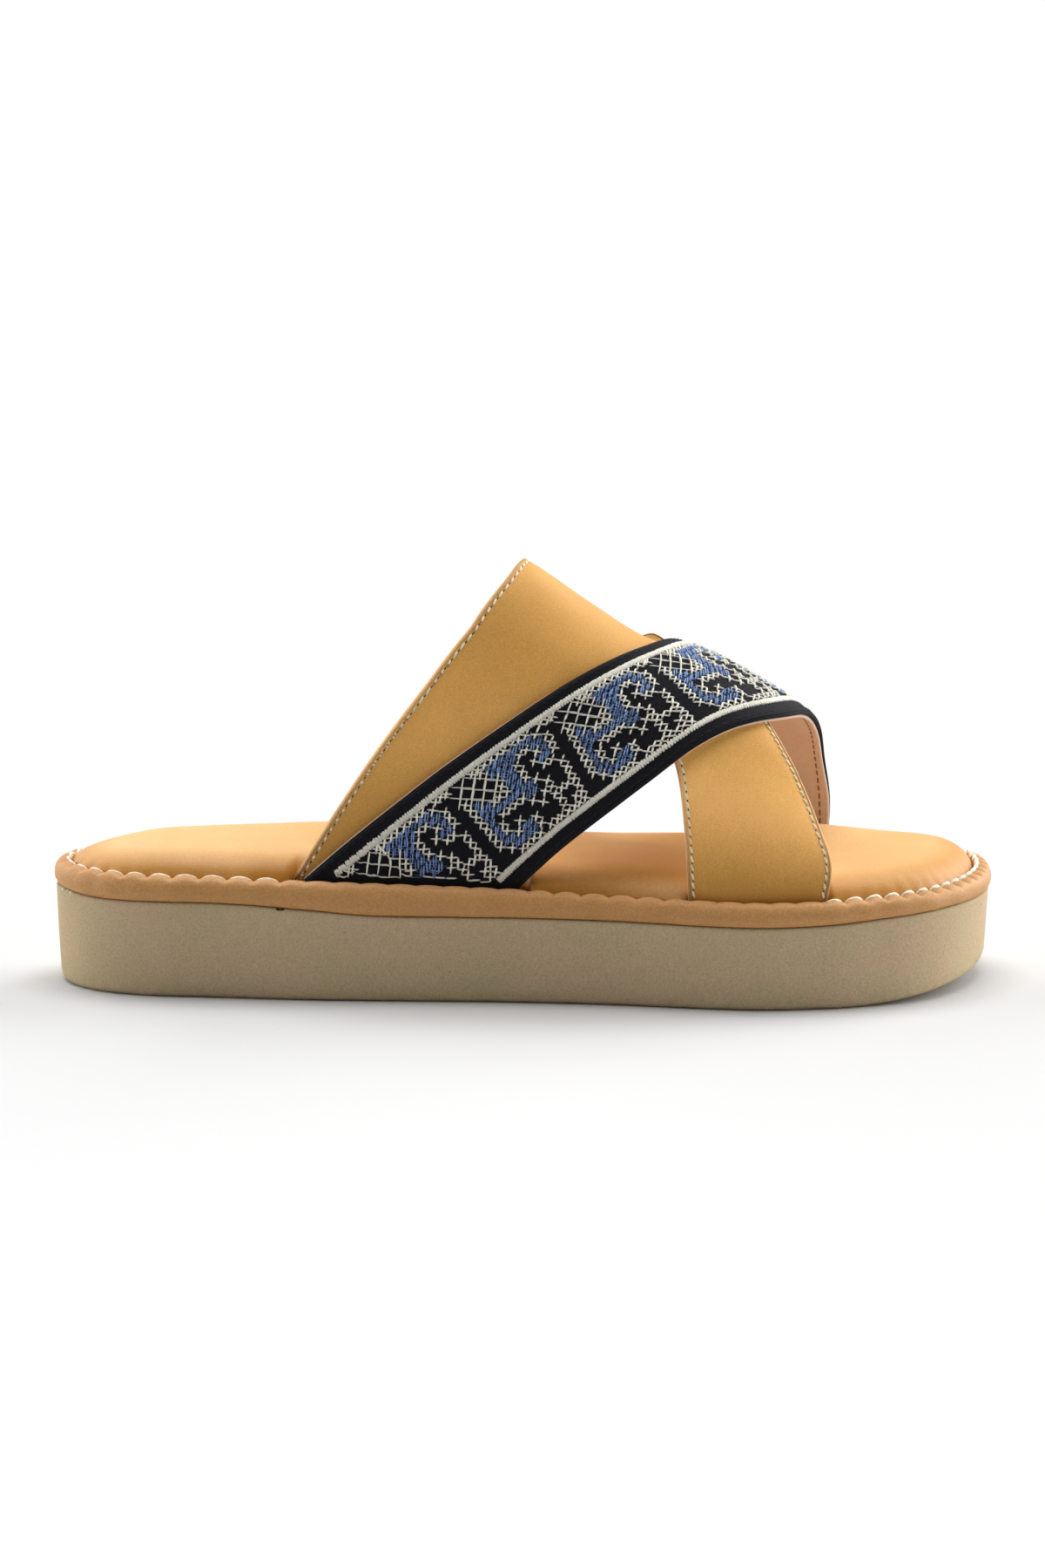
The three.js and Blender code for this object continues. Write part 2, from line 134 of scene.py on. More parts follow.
# Rim's cross-section, as shares of its width and height
RIM_SECTION = {
    "across": (0.19, 0.03, 0.0, 0.07, 0.26, 0.56, 0.9, 1.0),
    "up": (0.0, 0.22, 0.46, 0.7, 0.9, 1.0, 0.97, 0.86),
}
# Footbed's crown, as shares of its slope and rise
PAD_CROWN = {
    "inward": (0.0, 0.067, 0.173, 0.367, 0.667, 1.0),
    "up": (0.0, 0.26, 0.5, 0.74, 0.89, 0.95),
}
# How many mm the seam between rim and platform hangs lower, by share of the length
SEAM_SAG = {
    "at": (0.0, 0.05, 0.12, 0.2, 0.27, 0.34, 0.42, 0.5, 0.6, 0.8, 0.88, 0.95, 1.0),
    "sag": (0.2, 0.9, 0.7, 0.6, 1.3, 2.2, 1.8, 1.1, 0.4, 0.0, -0.8, -1.0, -0.2),
}
# Extra height of the footbed on its inner side: under the foot's arch, its ball and before its heel
SUPPORTS = (
    {"rise": 3.4 * MM, "at": 0.4, "reach": 34 * MM},
    {"rise": 3.0 * MM, "at": 0.8, "reach": 16 * MM},
    {"rise": 1.2 * MM, "at": 0.24, "reach": 30 * MM},
)
# Leather straps: round is the way over the arch from the outer to the inner side, edges as shares
# of the length
LEATHER_CUT = {
    "round": (0.0, 0.1, 0.2, 0.27, 0.3, 0.4, 0.5, 0.6, 0.7, 0.8, 0.9, 1.0),
    "rear": (0.259, 0.328, 0.394, 0.432, 0.446, 0.479, 0.495, 0.502, 0.489, 0.454, 0.401, 0.328),
    "window_rear": (0.481, 0.563, 0.614, 0.645, 0.645, 0.63, 0.61, 0.57, 0.545, 0.51, 0.475, 0.435),
    "window_front": (0.672, 0.668, 0.66, 0.645, 0.645, 0.63, 0.61, 0.57, 0.545, 0.51, 0.475, 0.435),
    "front": (0.816, 0.819, 0.802, 0.786, 0.778, 0.745, 0.695, 0.634, 0.597, 0.57, 0.553, 0.542),
}
# Embroidered strap, in the same way
BAND_CUT = {
    "round": (0.0, 0.1, 0.2, 0.3, 0.4, 0.5, 0.6, 0.7, 0.8, 0.9, 1.0),
    "rear": (0.271, 0.392, 0.494, 0.562, 0.611, 0.647, 0.674, 0.69, 0.698, 0.7, 0.696),
    "front": (0.495, 0.579, 0.647, 0.709, 0.763, 0.79, 0.806, 0.817, 0.825, 0.828, 0.828),
}

# One repeat of the cross-stitch border, charted: c is a cream cross, L a long cross of
# the open lattice, b a blue one. A row runs along the strap, the first one at its rear edge.
REPEAT_CHART = (
    "c...ccccccccc.cc",
    "..L.Lcbbbbbbbc..",
    ".L.L.Lbbbbccbbc.",
    ".cL.L.Lbbc..cbc.",
    ".cbL.Lcbbc.cbbc.",
    ".cbbcccbbc..cc..",
    ".cbbbbbbbbc...c.",
    ".cb.ccccbb.c..c.",
    ".cbc....c.cc..c.",
    ".cbc.c...c.cccc.",
    ".cbbcbbc...c..c.",
    "..cbbbbc...c.cc.",
    "...cccc.ccccccc.",
)

# One number for each piece that draws at random, so that every run gives the same
SEEDS = {
    "wall": 3,
    "crumbs": 4,
    "rim": 5,
    "rim_thread": 11,
    "footbed": 8,
    "leather": 21,
    "edge_thread": 31,
    "embroidery": 41,
}


def along(table, column, place, key="at"):
    """Smooth curve through one column of a table, read at places in its key column."""
    x = np.array(table[key], float)
    y = np.array(table[column], float)
    slope = np.empty_like(x)
    slope[1:-1] = (y[2:] - y[:-2]) / (x[2:] - x[:-2])
    slope[0] = (y[1] - y[0]) / (x[1] - x[0])
    slope[-1] = (y[-1] - y[-2]) / (x[-1] - x[-2])
    place = np.clip(place, x[0], x[-1])
    i = np.clip(np.searchsorted(x, place, side="right") - 1, 0, len(x) - 2)
    width = x[i + 1] - x[i]
    u = (place - x[i]) / width
    rise = u * u * (3 - 2 * u)
    bend = width * u * (1 - u) * ((1 - u) * slope[i] - u * slope[i + 1])
    return y[i] + (y[i + 1] - y[i]) * rise + bend


def fade(low, high, value):
    """0 below low, 1 above high, and smooth between."""
    u = np.clip((value - low) / (high - low), 0, 1)
    return u * u * (3 - 2 * u)


def hump(value, middle, reach):
    """1 at the middle, and smoothly down to 0 away from it."""
    return np.exp(-(((value - middle) / reach) ** 2))


def turned(degrees):
    return math.cos(math.radians(degrees)), math.sin(math.radians(degrees))


def unit(vectors):
    return vectors / np.maximum(np.linalg.norm(vectors, axis=-1, keepdims=True), 1e-12)


def travelled(path):
    """Distance along a path at each of its points."""
    return np.concatenate([[0], np.cumsum(np.linalg.norm(np.diff(path, axis=0), axis=1))])


def ripple(points, size, seed):
    """Soft unevenness between about -1 and 1, the same on every run."""
    draw = np.random.default_rng(seed)
    total = np.zeros(points.shape[:-1])
    waves = 7
    for _ in range(waves):
        direction = unit(draw.normal(size=3)) * draw.uniform(0.6, 1.5) / size
        total += np.sin(points @ (2 * math.pi * direction) + draw.uniform(0, 2 * math.pi))
    return total / math.sqrt(waves)


# Outline


def end_rounding(s):
    heel = 1 - np.clip(s / HEEL_ROUND, 0, 1)
    toe = 1 - np.clip((LENGTH - s) / TOE_ROUND, 0, 1)
    return (1 - heel**HEEL_POWER) ** (1 / HEEL_POWER) * (1 - toe**TOE_POWER) ** (1 / TOE_POWER)


def raw_edge(s, side):
    half = along(OUTLINE, "half", s / LENGTH) * end_rounding(s)
    return BALL_WIDTH * (along(OUTLINE, "centre", s / LENGTH) + side * half)


def stations(count):
    """Distances from the heel, closer together at both round ends."""
    return LENGTH * (1 - np.cos(math.pi * np.arange(count + 1) / count)) / 2


MIDDLE = (raw_edge(stations(CAD_STATIONS), -1).min() + raw_edge(stations(CAD_STATIONS), 1).max()) / 2


def edge(s, side):
    return raw_edge(s, side) - MIDDLE


def sole_top(s):
    return SOLE_HEIGHT * along(SOLE_TOP, "top", s / LENGTH)


def rim_top(s):
    return sole_top(s) + RIM_HEIGHT


def rim_seam(s):
    """Height of the uneven seam between the rim and the platform."""
    return sole_top(s) - MM * along(SEAM_SAG, "sag", s / LENGTH)


def sole_bottom(s):
    reach = np.clip((s / LENGTH - SPRING_START) / (1 - SPRING_START), 0, None)
    return TOE_SPRING * reach**SPRING_POWER


def from_heel(points):
    return np.clip(points[:, 0], 0, LENGTH)


def inward_from(ring):
    travel = unit(np.roll(ring, -1, axis=0) - np.roll(ring, 1, axis=0))
    return np.stack([-travel[:, 1], travel[:, 0]], axis=1)


def outline_ring(count):
    """Points once round the outline (heel, outer side, toe, inner side) and their inward normals."""
    s = stations(count)
    outer = np.stack([s, edge(s, -1)], axis=1)
    inner = np.stack([s[1:-1], edge(s[1:-1], 1)], axis=1)[::-1]
    ring = np.concatenate([outer, inner])
    return ring, inward_from(ring)


def even_ring():
    """The same outline with its points evenly spaced, their inward normals and distances round it."""
    ring, _ = outline_ring(900)
    closed = np.concatenate([ring, ring[:1]])
    arc = travelled(closed)
    place = np.linspace(0, arc[-1], RING_POINTS, endpoint=False)
    even = np.stack([np.interp(place, arc, closed[:, k]) for k in (0, 1)], axis=1)
    return even, inward_from(even), place


def raise_ring(ring, height):
    return np.stack([ring[:, 0] - LENGTH / 2, ring[:, 1], height], axis=1)


# The arch that the straps stand in


def arch_point(s, way):
    """Point of the arch's inner face: s from the heel, way over the arch; straight below the rim."""
    s, way = np.broadcast_arrays(np.asarray(s, float), np.asarray(way, float))
    legs = fade(*LEGS, s / LENGTH)
    outer = edge(s, -1) + RIM_WIDTH + 2 * GAP + REAR_STACK + (LEATHER - REAR_STACK) * legs
    inner = edge(s, 1) - RIM_WIDTH - 2 * GAP - LEATHER - (FRONT_STACK - LEATHER) * legs
    base = rim_top(s)
    height = INSTEP_HEIGHT * along(CREST, "high", s / LENGTH)
    crest = outer + (inner - outer) * CREST_PLACE
    near = way <= 0.5
    foot = np.where(near, outer, inner)
    side = np.where(near, -1.0, 1.0)
    u = np.clip(np.where(near, 2 * way, 2 - 2 * way), 0, 1)
    b0, b1, b2, b3 = (1 - u) ** 3, 3 * u * (1 - u) ** 2, 3 * u * u * (1 - u), u**3
    y = b0 * foot + b1 * (foot + side * WALL_BULGE) + b3 * crest
    y = y + b2 * (crest + side * CREST_FLAT * abs(foot - crest))
    below = np.clip(-way, 0, None) + np.clip(way - 1, 0, None)
    z = base + (b1 * WALL_SHARE + b2 + b3) * height - below * FOOT_DEPTH / FOOT_ROUND
    return np.stack([s - LENGTH / 2, y, z], axis=-1)


def arch_normal(s, way):
    small, share = 0.1 * MM, 1e-3
    near = np.clip(way, 2 * share, 1 - 2 * share)
    forward = arch_point(s + small, near) - arch_point(s - small, near)
    over = arch_point(s, near + share) - arch_point(s, near - share)
    return unit(np.cross(forward, over))


def raised(s, way, distance):
    distance = np.broadcast_to(distance, np.broadcast(s, way).shape)
    return arch_point(s, way) + arch_normal(s, way) * distance[..., None]


def cut(table, column):
    return lambda way: LENGTH * along(table, column, np.clip(way, 0, 1), "round")


def laid(way):
    """How far the embroidered strap lies off the arch: over the leather, then down to it."""
    return (LEATHER - FUSE) * (1 - fade(*STEP_DOWN, way))


def band_top(way):
    return laid(way) + BACKING + GAP + BAND


def lip(column, way):
    """Pucker of the leather's front edge where it comes out from under the embroidered strap."""
    rise = fade(LIP["start"], LIP["full"], way) * (1 - fade(LIP["still"], LIP["end"], way))
    return LIP_RISE * fade(1 - LIP["width"], 1, column) * rise


def walk(s, way, direction, step, lift):
    """New places after a step in a 3-D direction along the surface that lies lift above the arch."""
    small, share = 0.1 * MM, 1e-3
    here = raised(s, way, lift(way))
    along_s = (raised(s + small, way, lift(way)) - here) / small
    along_way = (raised(s, way + share, lift(way + share)) - here) / share
    normal = unit(np.cross(along_s, along_way))
    direction = unit(direction - np.sum(direction * normal, -1, keepdims=True) * normal)
    ss, sw = np.sum(along_s * along_s, -1), np.sum(along_s * along_way, -1)
    ww = np.sum(along_way * along_way, -1)
    ds = np.sum(along_s * direction, -1) * step
    dw = np.sum(along_way * direction, -1) * step
    scale = ss * ww - sw * sw
    return s + (ww * ds - sw * dw) / scale, way + (ss * dw - sw * ds) / scale, direction


# Mesh building


def new_piece(name, points, faces, finish, slot, node=None, uv=None, shade=None, tone=None):
    mesh = bpy.data.meshes.new(name)
    points = np.asarray(points, float).reshape(-1, 3)
    mesh.from_pydata(points.tolist(), [], [tuple(map(int, face)) for face in faces])
    mesh.polygons.foreach_set("use_smooth", [True] * len(mesh.polygons))
    mesh.materials.append(finish)
    if uv is not None:
        layer = mesh.uv_layers.new(name="UVMap")
        corners = np.empty(len(mesh.loops), int)
        mesh.loops.foreach_get("vertex_index", corners)
        layer.data.foreach_set("uv", np.asarray(uv, float).reshape(-1, 2)[corners].ravel())
    for kind, values in (("shade", shade), ("tone", tone)):
        if values is not None:
            attribute = mesh.attributes.new(kind, "FLOAT", "POINT")
            attribute.data.foreach_set("value", np.asarray(values, float).ravel())
    mesh.validate()
    mesh.update()
    piece = bpy.data.objects.new(name, mesh)
    bpy.context.scene.collection.objects.link(piece)
    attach(piece, "root")
    if node:
        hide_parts(node)
    return piece


def wall_faces(rows, count, closed_rows=False, closed_count=True):
    """Quads between rows of points that follow each other."""
    faces = []
    for k in range(rows if closed_rows else rows - 1):
        low, high = k * count, ((k + 1) % rows) * count
        for i in range(count if closed_count else count - 1):
            j = (i + 1) % count
            faces.append((low + i, low + j, high + j, high + i))
    return faces


def ladder(start, count, up):
    """Closes a ring by strips that run across the sandal."""
    half = count // 2
    faces = [(start, start + 1, start + count - 1)]
    for i in range(1, half - 1):
        faces.append((start + i, start + i + 1, start + count - i - 1, start + count - i))
    faces.append((start + half - 1, start + half, start + half + 1))
    return faces if up else [face[::-1] for face in faces]


def stacked(name, rings, *args, **kwargs):
    count = len(rings[0])
    faces = ladder(0, count, False) + wall_faces(len(rings), count)
    faces += ladder((len(rings) - 1) * count, count, True)
    return new_piece(name, np.concatenate(rings), faces, *args, **kwargs)


def tubes(paths, radius, sides=6, width=None):
    """Threads along many paths at once: points, faces and texture places along and around them."""
    paths = np.asarray(paths, float)
    count, steps, _ = paths.shape
    travel = unit(np.gradient(paths, axis=1))
    lead = np.where(abs(travel[..., 2:3]) > 0.9, np.array([1.0, 0, 0]), np.array([0, 0, 1.0]))
    side = unit(np.cross(travel, lead))
    over = np.cross(side, travel)
    if width is None:
        width = np.ones(steps)
        width[[0, -1]] = 0.55
    ring = np.broadcast_to(np.asarray(radius, float), (count,))[:, None] * width
    angle = 2 * math.pi * np.arange(sides) / sides
    around = side[:, :, None] * np.cos(angle)[:, None] + over[:, :, None] * np.sin(angle)[:, None]
    points = paths[:, :, None] + around * ring[:, :, None, None]
    base = np.arange(count)[:, None, None] * steps * sides
    k = np.arange(steps - 1)[None, :, None] * sides
    i = np.arange(sides)[None, None]
    j = (i + 1) % sides
    quads = np.stack([base + k + j, base + k + i, base + k + sides + i, base + k + sides + j], axis=-1)
    faces = quads.reshape(-1, 4).tolist()
    first = (base[:, 0] + np.arange(sides)[None]).tolist()
    last = (base[:, 0] + (steps - 1) * sides + np.arange(sides)[None])[:, ::-1].tolist()
    length = np.concatenate(
        [np.zeros((count, 1)), np.cumsum(np.linalg.norm(np.diff(paths, axis=1), axis=2), axis=1)], axis=1
    )
    uv = np.stack(
        [
            np.broadcast_to(length[:, :, None], points.shape[:3]),
            np.broadcast_to(np.arange(sides) / sides, points.shape[:3]),
        ],
        axis=-1,
    )
    return points.reshape(-1, 3), faces + first + last, uv.reshape(-1, 2)


# Rounded shells over the arch

EDGE_TURNS = (90, 60, 30, 0, -30, -60, -90)


def shell(name, sheet, inner, outer, *args, painted_edge_sheen=None, tone=None, **kwargs):
    """Closed wall over a sheet of cells, with round edges; the two painted values give a painted sheen along
    the edges and painted light and shade at each place.
    """
    s, way, quads = sheet["s"], sheet["way"], sheet["quads"]
    low = raised(s, way, inner)
    high = raised(s, way, outer)
    follows = {}
    for quad in quads:
        for a, b in zip(quad, quad[1:] + quad[:1]):
            if follows.pop((b, a), None) is None:
                follows[(a, b)] = True
    after = {a: b for a, b in follows}
    before = {b: a for a, b in follows}
    rim = list(after)
    place = {v: i for i, v in enumerate(rim)}
    middle = (low + high) / 2
    normal = arch_normal(s, way)
    here, there = np.array([before[v] for v in rim]), np.array([after[v] for v in rim])
    rim_index = np.array(rim)
    travel = unit(middle[there] - middle[here])
    outwards = unit(np.cross(travel, normal[rim_index]))
    half = np.linalg.norm(high - low, axis=1)[rim_index] / 2
    reach = np.minimum(half, kwargs.pop("reach", 1.0 * MM))
    rings = []
    for turn in EDGE_TURNS:
        c, d = turned(turn)
        shift = outwards * (reach * (c - 1))[:, None] + normal[rim_index] * (half * d)[:, None]
        rings.append(middle[rim_index] + shift)
    high[rim_index], low[rim_index] = rings[0], rings[-1]
    count, edge_count = len(s), len(rim)
    points = np.concatenate([high, low] + rings[1:-1])
    for kind, values in (("shade", painted_edge_sheen), ("tone", tone)):
        if values is not None:
            kwargs[kind] = np.concatenate([values, values] + [values[rim_index]] * (len(EDGE_TURNS) - 2))

    def at(vertex, ring):
        if ring == 0:
            return vertex
        if ring == len(EDGE_TURNS) - 1:
            return count + vertex
        return 2 * count + (ring - 1) * edge_count + place[vertex]

    faces = [tuple(quad) for quad in quads]
    faces += [tuple(count + v for v in reversed(quad)) for quad in quads]
    for a, b in after.items():
        for ring in range(len(EDGE_TURNS) - 1):
            faces.append((at(a, ring), at(a, ring + 1), at(b, ring + 1), at(b, ring)))
    return new_piece(name, points, faces, *args, **kwargs)


NEAR_EDGE = (0, 0.5, 0.9, 1.2, 1.5, 1.9, 2.6, 3.6)


def edge_columns(width, between):
    """Shares across a strip, close together near both edges."""
    near = np.array(NEAR_EDGE) * MM / width
    return np.concatenate([near, np.linspace(near[-1], 1 - near[-1], between + 1)[1:-1], 1 - near[::-1]])


def on_sheet(sheet, lift):
    return raised(sheet["s"], sheet["way"], lift)


def strip(ways, shares, rear, front):
    """Grid of places between two edges; column keeps the share across."""
    start, end = rear(ways), front(ways)
    s = start[:, None] + (end - start)[:, None] * shares[None]
    way = np.broadcast_to(ways[:, None], s.shape)
    column = np.broadcast_to(shares[None], s.shape)
    width = len(shares)
    quads = []
    for i in range(len(ways) - 1):
        for j in range(width - 1):
            a = i * width + j
            quads.append([a, a + 1, a + width + 1, a + width])
    return {"s": s.ravel(), "way": way.ravel().copy(), "column": column.ravel(), "quads": quads}


def rows_over(count):
    return np.concatenate([[-FOOT_ROUND, -FOOT_ROUND / 2], np.linspace(0, 1, count), [1 + FOOT_ROUND]])


def leather_sheet(count, between, inset=0.0):
    """The leather straps' grid: rear and front halves, joined above the window."""

    def drawn_in(column, side):
        window = column.startswith("window")
        place = cut(LEATHER_CUT, column)
        return lambda way: place(way) + side * inset * (1 - window * fade(WINDOW_TOP - 0.05, WINDOW_TOP, way))

    ways = np.unique(np.append(rows_over(count), WINDOW_TOP))
    shares = edge_columns(50 * MM, between)
    rear = strip(ways, shares, drawn_in("rear", 1), drawn_in("window_rear", -1))
    front = strip(ways, shares, drawn_in("window_front", 1), drawn_in("front", -1))
    width, shift = len(shares), len(rear["s"])

    def joined(v):
        row, column = divmod(v, width)
        return row * width + width - 1 if column == 0 and ways[row] >= WINDOW_TOP else v + shift

    quads = rear["quads"] + [[joined(v) for v in quad] for quad in front["quads"]]
    used = sorted({v for quad in quads for v in quad})
    place = {v: i for i, v in enumerate(used)}
    sheet = {key: np.concatenate([rear[key], front[key]])[used] for key in ("s", "way", "column")}
    sheet["front"] = (np.array(used) >= shift).astype(float)
    sheet["quads"] = [[place[v] for v in quad] for quad in quads]
    return sheet


def edge_path(column, table, lift, inside, ways, side):
    """Places of a line that runs inside a strap's edge; side is 1 where the strap lies in front."""
    s = cut(table, column)(ways)
    path = raised(s, ways, lift(ways))
    travel = unit(np.gradient(path, axis=0))
    inwards = side * np.cross(travel, arch_normal(s, ways))
    steps = 4
    way = ways.copy()
    for _ in range(steps):
        s, way, inwards = walk(s, way, inwards, inside / steps, lift)
    return s, way


# Finishes


class Finish:
    """Builds one node material step by step."""

    def __init__(self, name):
        self.material = bpy.data.materials.new(name)
        self.material.use_nodes = True
        self.tree = self.material.node_tree
        self.tree.nodes.clear()
        self.place = self.add("ShaderNodeTexCoord").outputs["Object"]

    def add(self, kind, inputs=None, **settings):
        node = self.tree.nodes.new(kind)
        for key, value in settings.items():
            setattr(node, key, value)
        for key, value in (inputs or {}).items():
            socket = node.inputs[key]
            if isinstance(value, bpy.types.NodeSocket):
                self.tree.links.new(value, socket)
            else:
                socket.default_value = value
        return node

    def painted(self, name):
        """Value that the mesh carries at each point."""
        return self.add("ShaderNodeAttribute", attribute_name=name).outputs["Fac"]

    def noise(self, size, detail=3.0, rough=0.6, place=None):
        """Noise whose features are about size across."""
        values = {"Vector": place or self.place, "Scale": 1 / size, "Detail": detail, "Roughness": rough}
        return self.add("ShaderNodeTexNoise", values).outputs["Fac"]

    def math(self, operation, a, b=0.0):
        return self.add("ShaderNodeMath", {0: a, 1: b}, operation=operation).outputs[0]

    def spread(self, value, low, high, to_low=0.0, to_high=1.0):
        values = {"Value": value, "From Min": low, "From Max": high, "To Min": to_low, "To Max": to_high}
        return self.add("ShaderNodeMapRange", values).outputs["Result"]

    def mix(self, share, a, b, blend="MIX"):
        node = self.add("ShaderNodeMix", data_type="RGBA", blend_type=blend)
        for index, value in ((0, share), (6, a), (7, b)):
            socket = node.inputs[index]
            if isinstance(value, bpy.types.NodeSocket):
                self.tree.links.new(value, socket)
            else:
                socket.default_value = value
        return node.outputs[2]

    def speckled(self, noise, low, high, colour, darker, lighter):
        """A colour that changes with a noise from darker to lighter times itself."""
        return self.mix(self.spread(noise, low, high), scaled(colour, darker), scaled(colour, lighter))

    def bump(self, height, depth, below=None):
        values = {"Height": height, "Distance": depth, "Strength": 1.0}
        if below is not None:
            values["Normal"] = below
        return self.add("ShaderNodeBump", values).outputs["Normal"]

    def close(self, colour, roughness, normal=None, **constants):
        shader = self.add("ShaderNodeBsdfPrincipled", {"Base Color": colour, "Roughness": roughness})
        if normal is not None:
            self.tree.links.new(normal, shader.inputs["Normal"])
        for key, value in constants.items():
            shader.inputs[key.replace("_", " ")].default_value = value
        output = self.add("ShaderNodeOutputMaterial")
        self.tree.links.new(shader.outputs["BSDF"], output.inputs["Surface"])
        return self.material


def rgba(colour):
    return (*colour, 1.0)


def scaled(colour, factor):
    return (*[min(1.0, channel * factor) for channel in colour], 1.0)


def leather_finish(name, colour, grain, contrast=0.2, roughness=0.6, rich=-0.3, turn=0.0, **more):
    """Soft leather: speckled grain, cloudy tone and faint pores, with a painted sheen that makes marked edges
    paler and painted light and shade from the mesh's tone values.

    Where painted light or shade changes a place, rich and turn say how much its saturation and hue follow.
    """
    depth = 0.06 * MM
    finish = Finish(name)
    speckle = finish.noise(grain, 5.0, 0.75)
    cloud = finish.noise(13 * MM, 3.0)
    tone = finish.speckled(speckle, 0.34, 0.66, colour, 1 - contrast, 1 + contrast)
    shade = finish.mix(finish.spread(cloud, 0.3, 0.7), rgba((0.93, 0.91, 0.88)), rgba((1, 1, 1)))
    base = finish.mix(1.0, tone, shade, "MULTIPLY")
    # Painted sheen: places near a marked edge are mixed towards a paler colour.
    painted_edge_sheen = finish.painted("shade")
    pale = tuple(0.8 * channel + 0.28 * max(colour) for channel in colour)
    base = finish.mix(finish.math("MULTIPLY", painted_edge_sheen, 0.6), base, rgba(pale))
    # Painted light and shade: the mesh's tone values make places lighter or darker and shift their saturation
    # and hue.
    change = finish.painted("tone")
    richer = finish.math("ADD", 1.0, finish.math("MULTIPLY", change, rich))
    hue = finish.math("ADD", 0.5, finish.math("MULTIPLY", change, turn))
    values = {"Color": base, "Value": finish.math("ADD", change, 1.0), "Saturation": richer, "Hue": hue}
    base = finish.add("ShaderNodeHueSaturation", values).outputs["Color"]
    pores = finish.noise(0.25 * MM, 2.0, 0.5)
    normal = finish.bump(speckle, depth, finish.bump(pores, depth * 0.5))
    gloss = finish.spread(speckle, 0.3, 0.7, roughness - 0.06, roughness + 0.08)
    return finish.close(base, gloss, normal, **more)


def foam_finish(name, colour, marks):
    """Sanded foam: grain, greenish and pinkish clouds, and a few small marks from wear."""
    finish = Finish(name)
    ragged = 1.0 * MM
    crumb = finish.noise(0.5 * MM, 4.0, 0.7)
    cloud = finish.noise(16 * MM, 5.0, 0.6)
    tone = finish.speckled(crumb, 0.33, 0.67, colour, 0.82, 1.17)
    shade = finish.mix(finish.spread(cloud, 0.35, 0.65), rgba((0.91, 0.95, 0.88)), rgba((1.0, 0.95, 0.95)))
    base = finish.mix(1.0, tone, shade, "MULTIPLY")
    waves = {"Vector": finish.place, "Scale": 1 / (0.8 * MM), "Detail": 3.0}
    wobble = finish.add("ShaderNodeTexNoise", waves).outputs["Color"]
    shift = finish.add("ShaderNodeVectorMath", {0: wobble, 1: (2 * ragged,) * 3}, operation="MULTIPLY")
    place = finish.add("ShaderNodeVectorMath", {0: finish.place, 1: shift.outputs[0]}, operation="ADD")
    height = crumb
    for centre, size, mark in marks:
        middle = tuple(float(value) + ragged for value in centre)
        away = finish.add("ShaderNodeVectorMath", {0: place.outputs[0], 1: middle}, operation="DISTANCE")
        spot = finish.spread(away.outputs["Value"], 0.75 * size, size, 1.0, 0.0)
        base = finish.mix(spot, base, rgba(mark))
        height = finish.math("SUBTRACT", height, finish.math("MULTIPLY", spot, 1.5))
    normal = finish.bump(height, 0.14 * MM)
    return finish.close(base, 0.9, normal, Specular_IOR_Level=0.25)


def felt_finish(name, colour):
    """Black woven felt with a soft nap."""
    finish = Finish(name)
    nap = finish.noise(0.35 * MM, 5.0, 0.8)
    base = finish.speckled(nap, 0.35, 0.75, colour, 0.6, 2.2)
    normal = finish.bump(nap, 0.18 * MM)
    return finish.close(base, 0.95, normal, Specular_IOR_Level=0.2, Sheen_Weight=0.04, Sheen_Roughness=0.5)


def thread_finish(name, colour, lighter=None, variety=0.12, twist=0.9 * MM, depth=0.06 * MM):
    """Twisted thread: slanted plies along its length, painted shade in the grooves between them, and a tone
    that changes from stitch to stitch.
    """
    finish = Finish(name)
    place = finish.add("ShaderNodeTexCoord").outputs["UV"]
    parts = finish.add("ShaderNodeSeparateXYZ", {"Vector": place})
    turns = finish.math("MULTIPLY", parts.outputs["X"], 1 / twist)
    slant = finish.math("ADD", turns, parts.outputs["Y"])
    ply = finish.math("SINE", finish.math("MULTIPLY", slant, 4 * math.pi))
    shade = finish.painted("shade")
    light = rgba(lighter) if lighter else scaled(colour, 1 + variety)
    tone = finish.mix(shade, scaled(colour, 1 if lighter else 1 - variety), light)
    # Painted shade: the grooves between the plies are slightly darker.
    painted_ply_shade = finish.mix(finish.spread(ply, -1, 1), rgba((0.93, 0.91, 0.88)), rgba((1, 1, 1)))
    base = finish.mix(1.0, tone, painted_ply_shade, "MULTIPLY")
    return finish.close(base, 0.55, finish.bump(ply, depth), Sheen_Weight=0.15)


def plain_finish(name, colour, roughness):
    finish = Finish(name)
    fine = finish.noise(0.3 * MM, 3.0)
    base = finish.speckled(fine, 0.3, 0.7, colour, 0.85, 1.15)
    return finish.close(base, roughness)


FINISHES = {}


def finish_of(name, make, *args, **kwargs):
    if name not in FINISHES:
        FINISHES[name] = make(name, *args, **kwargs)
    return FINISHES[name]


# Properties


def length(name, description, default):
    return bpy.props.FloatProperty(
        name=name, description=description, default=default, min=0, precision=5, unit="LENGTH"
    )


def colour(name, description, default):
    return bpy.props.FloatVectorProperty(
        name=name, description=description, default=default, size=3, min=0, max=1, subtype="COLOR"
    )


class SoleProperties(bpy.types.PropertyGroup):
    foam: colour("Foam", "Colour of the platform", (0.55, 0.425, 0.27))
    rim: colour("Rim", "Colour of the leather rim", (0.54, 0.27, 0.085))
    pad: colour("Footbed", "Colour of the footbed's leather", (0.72, 0.415, 0.152))
    thread: colour("Thread", "Colour of the rim's stitches", (0.94, 0.86, 0.69))
    heel_pitch: length("Heel stitch", "Length of the rim's stitches along heel and waist", 7.5 * MM)
    toe_pitch: length("Toe stitch", "Length of the rim's stitches round the toe", 5.7 * MM)
    heel_thread: length("Heel thread", "Radius of the rim's thread at the heel", 0.45 * MM)
    toe_thread: length("Toe thread", "Radius of the rim's thread round the toe", 0.62 * MM)
    scallop: length("Scallop", "How deep the stitches pull the rim down", 1.0 * MM)


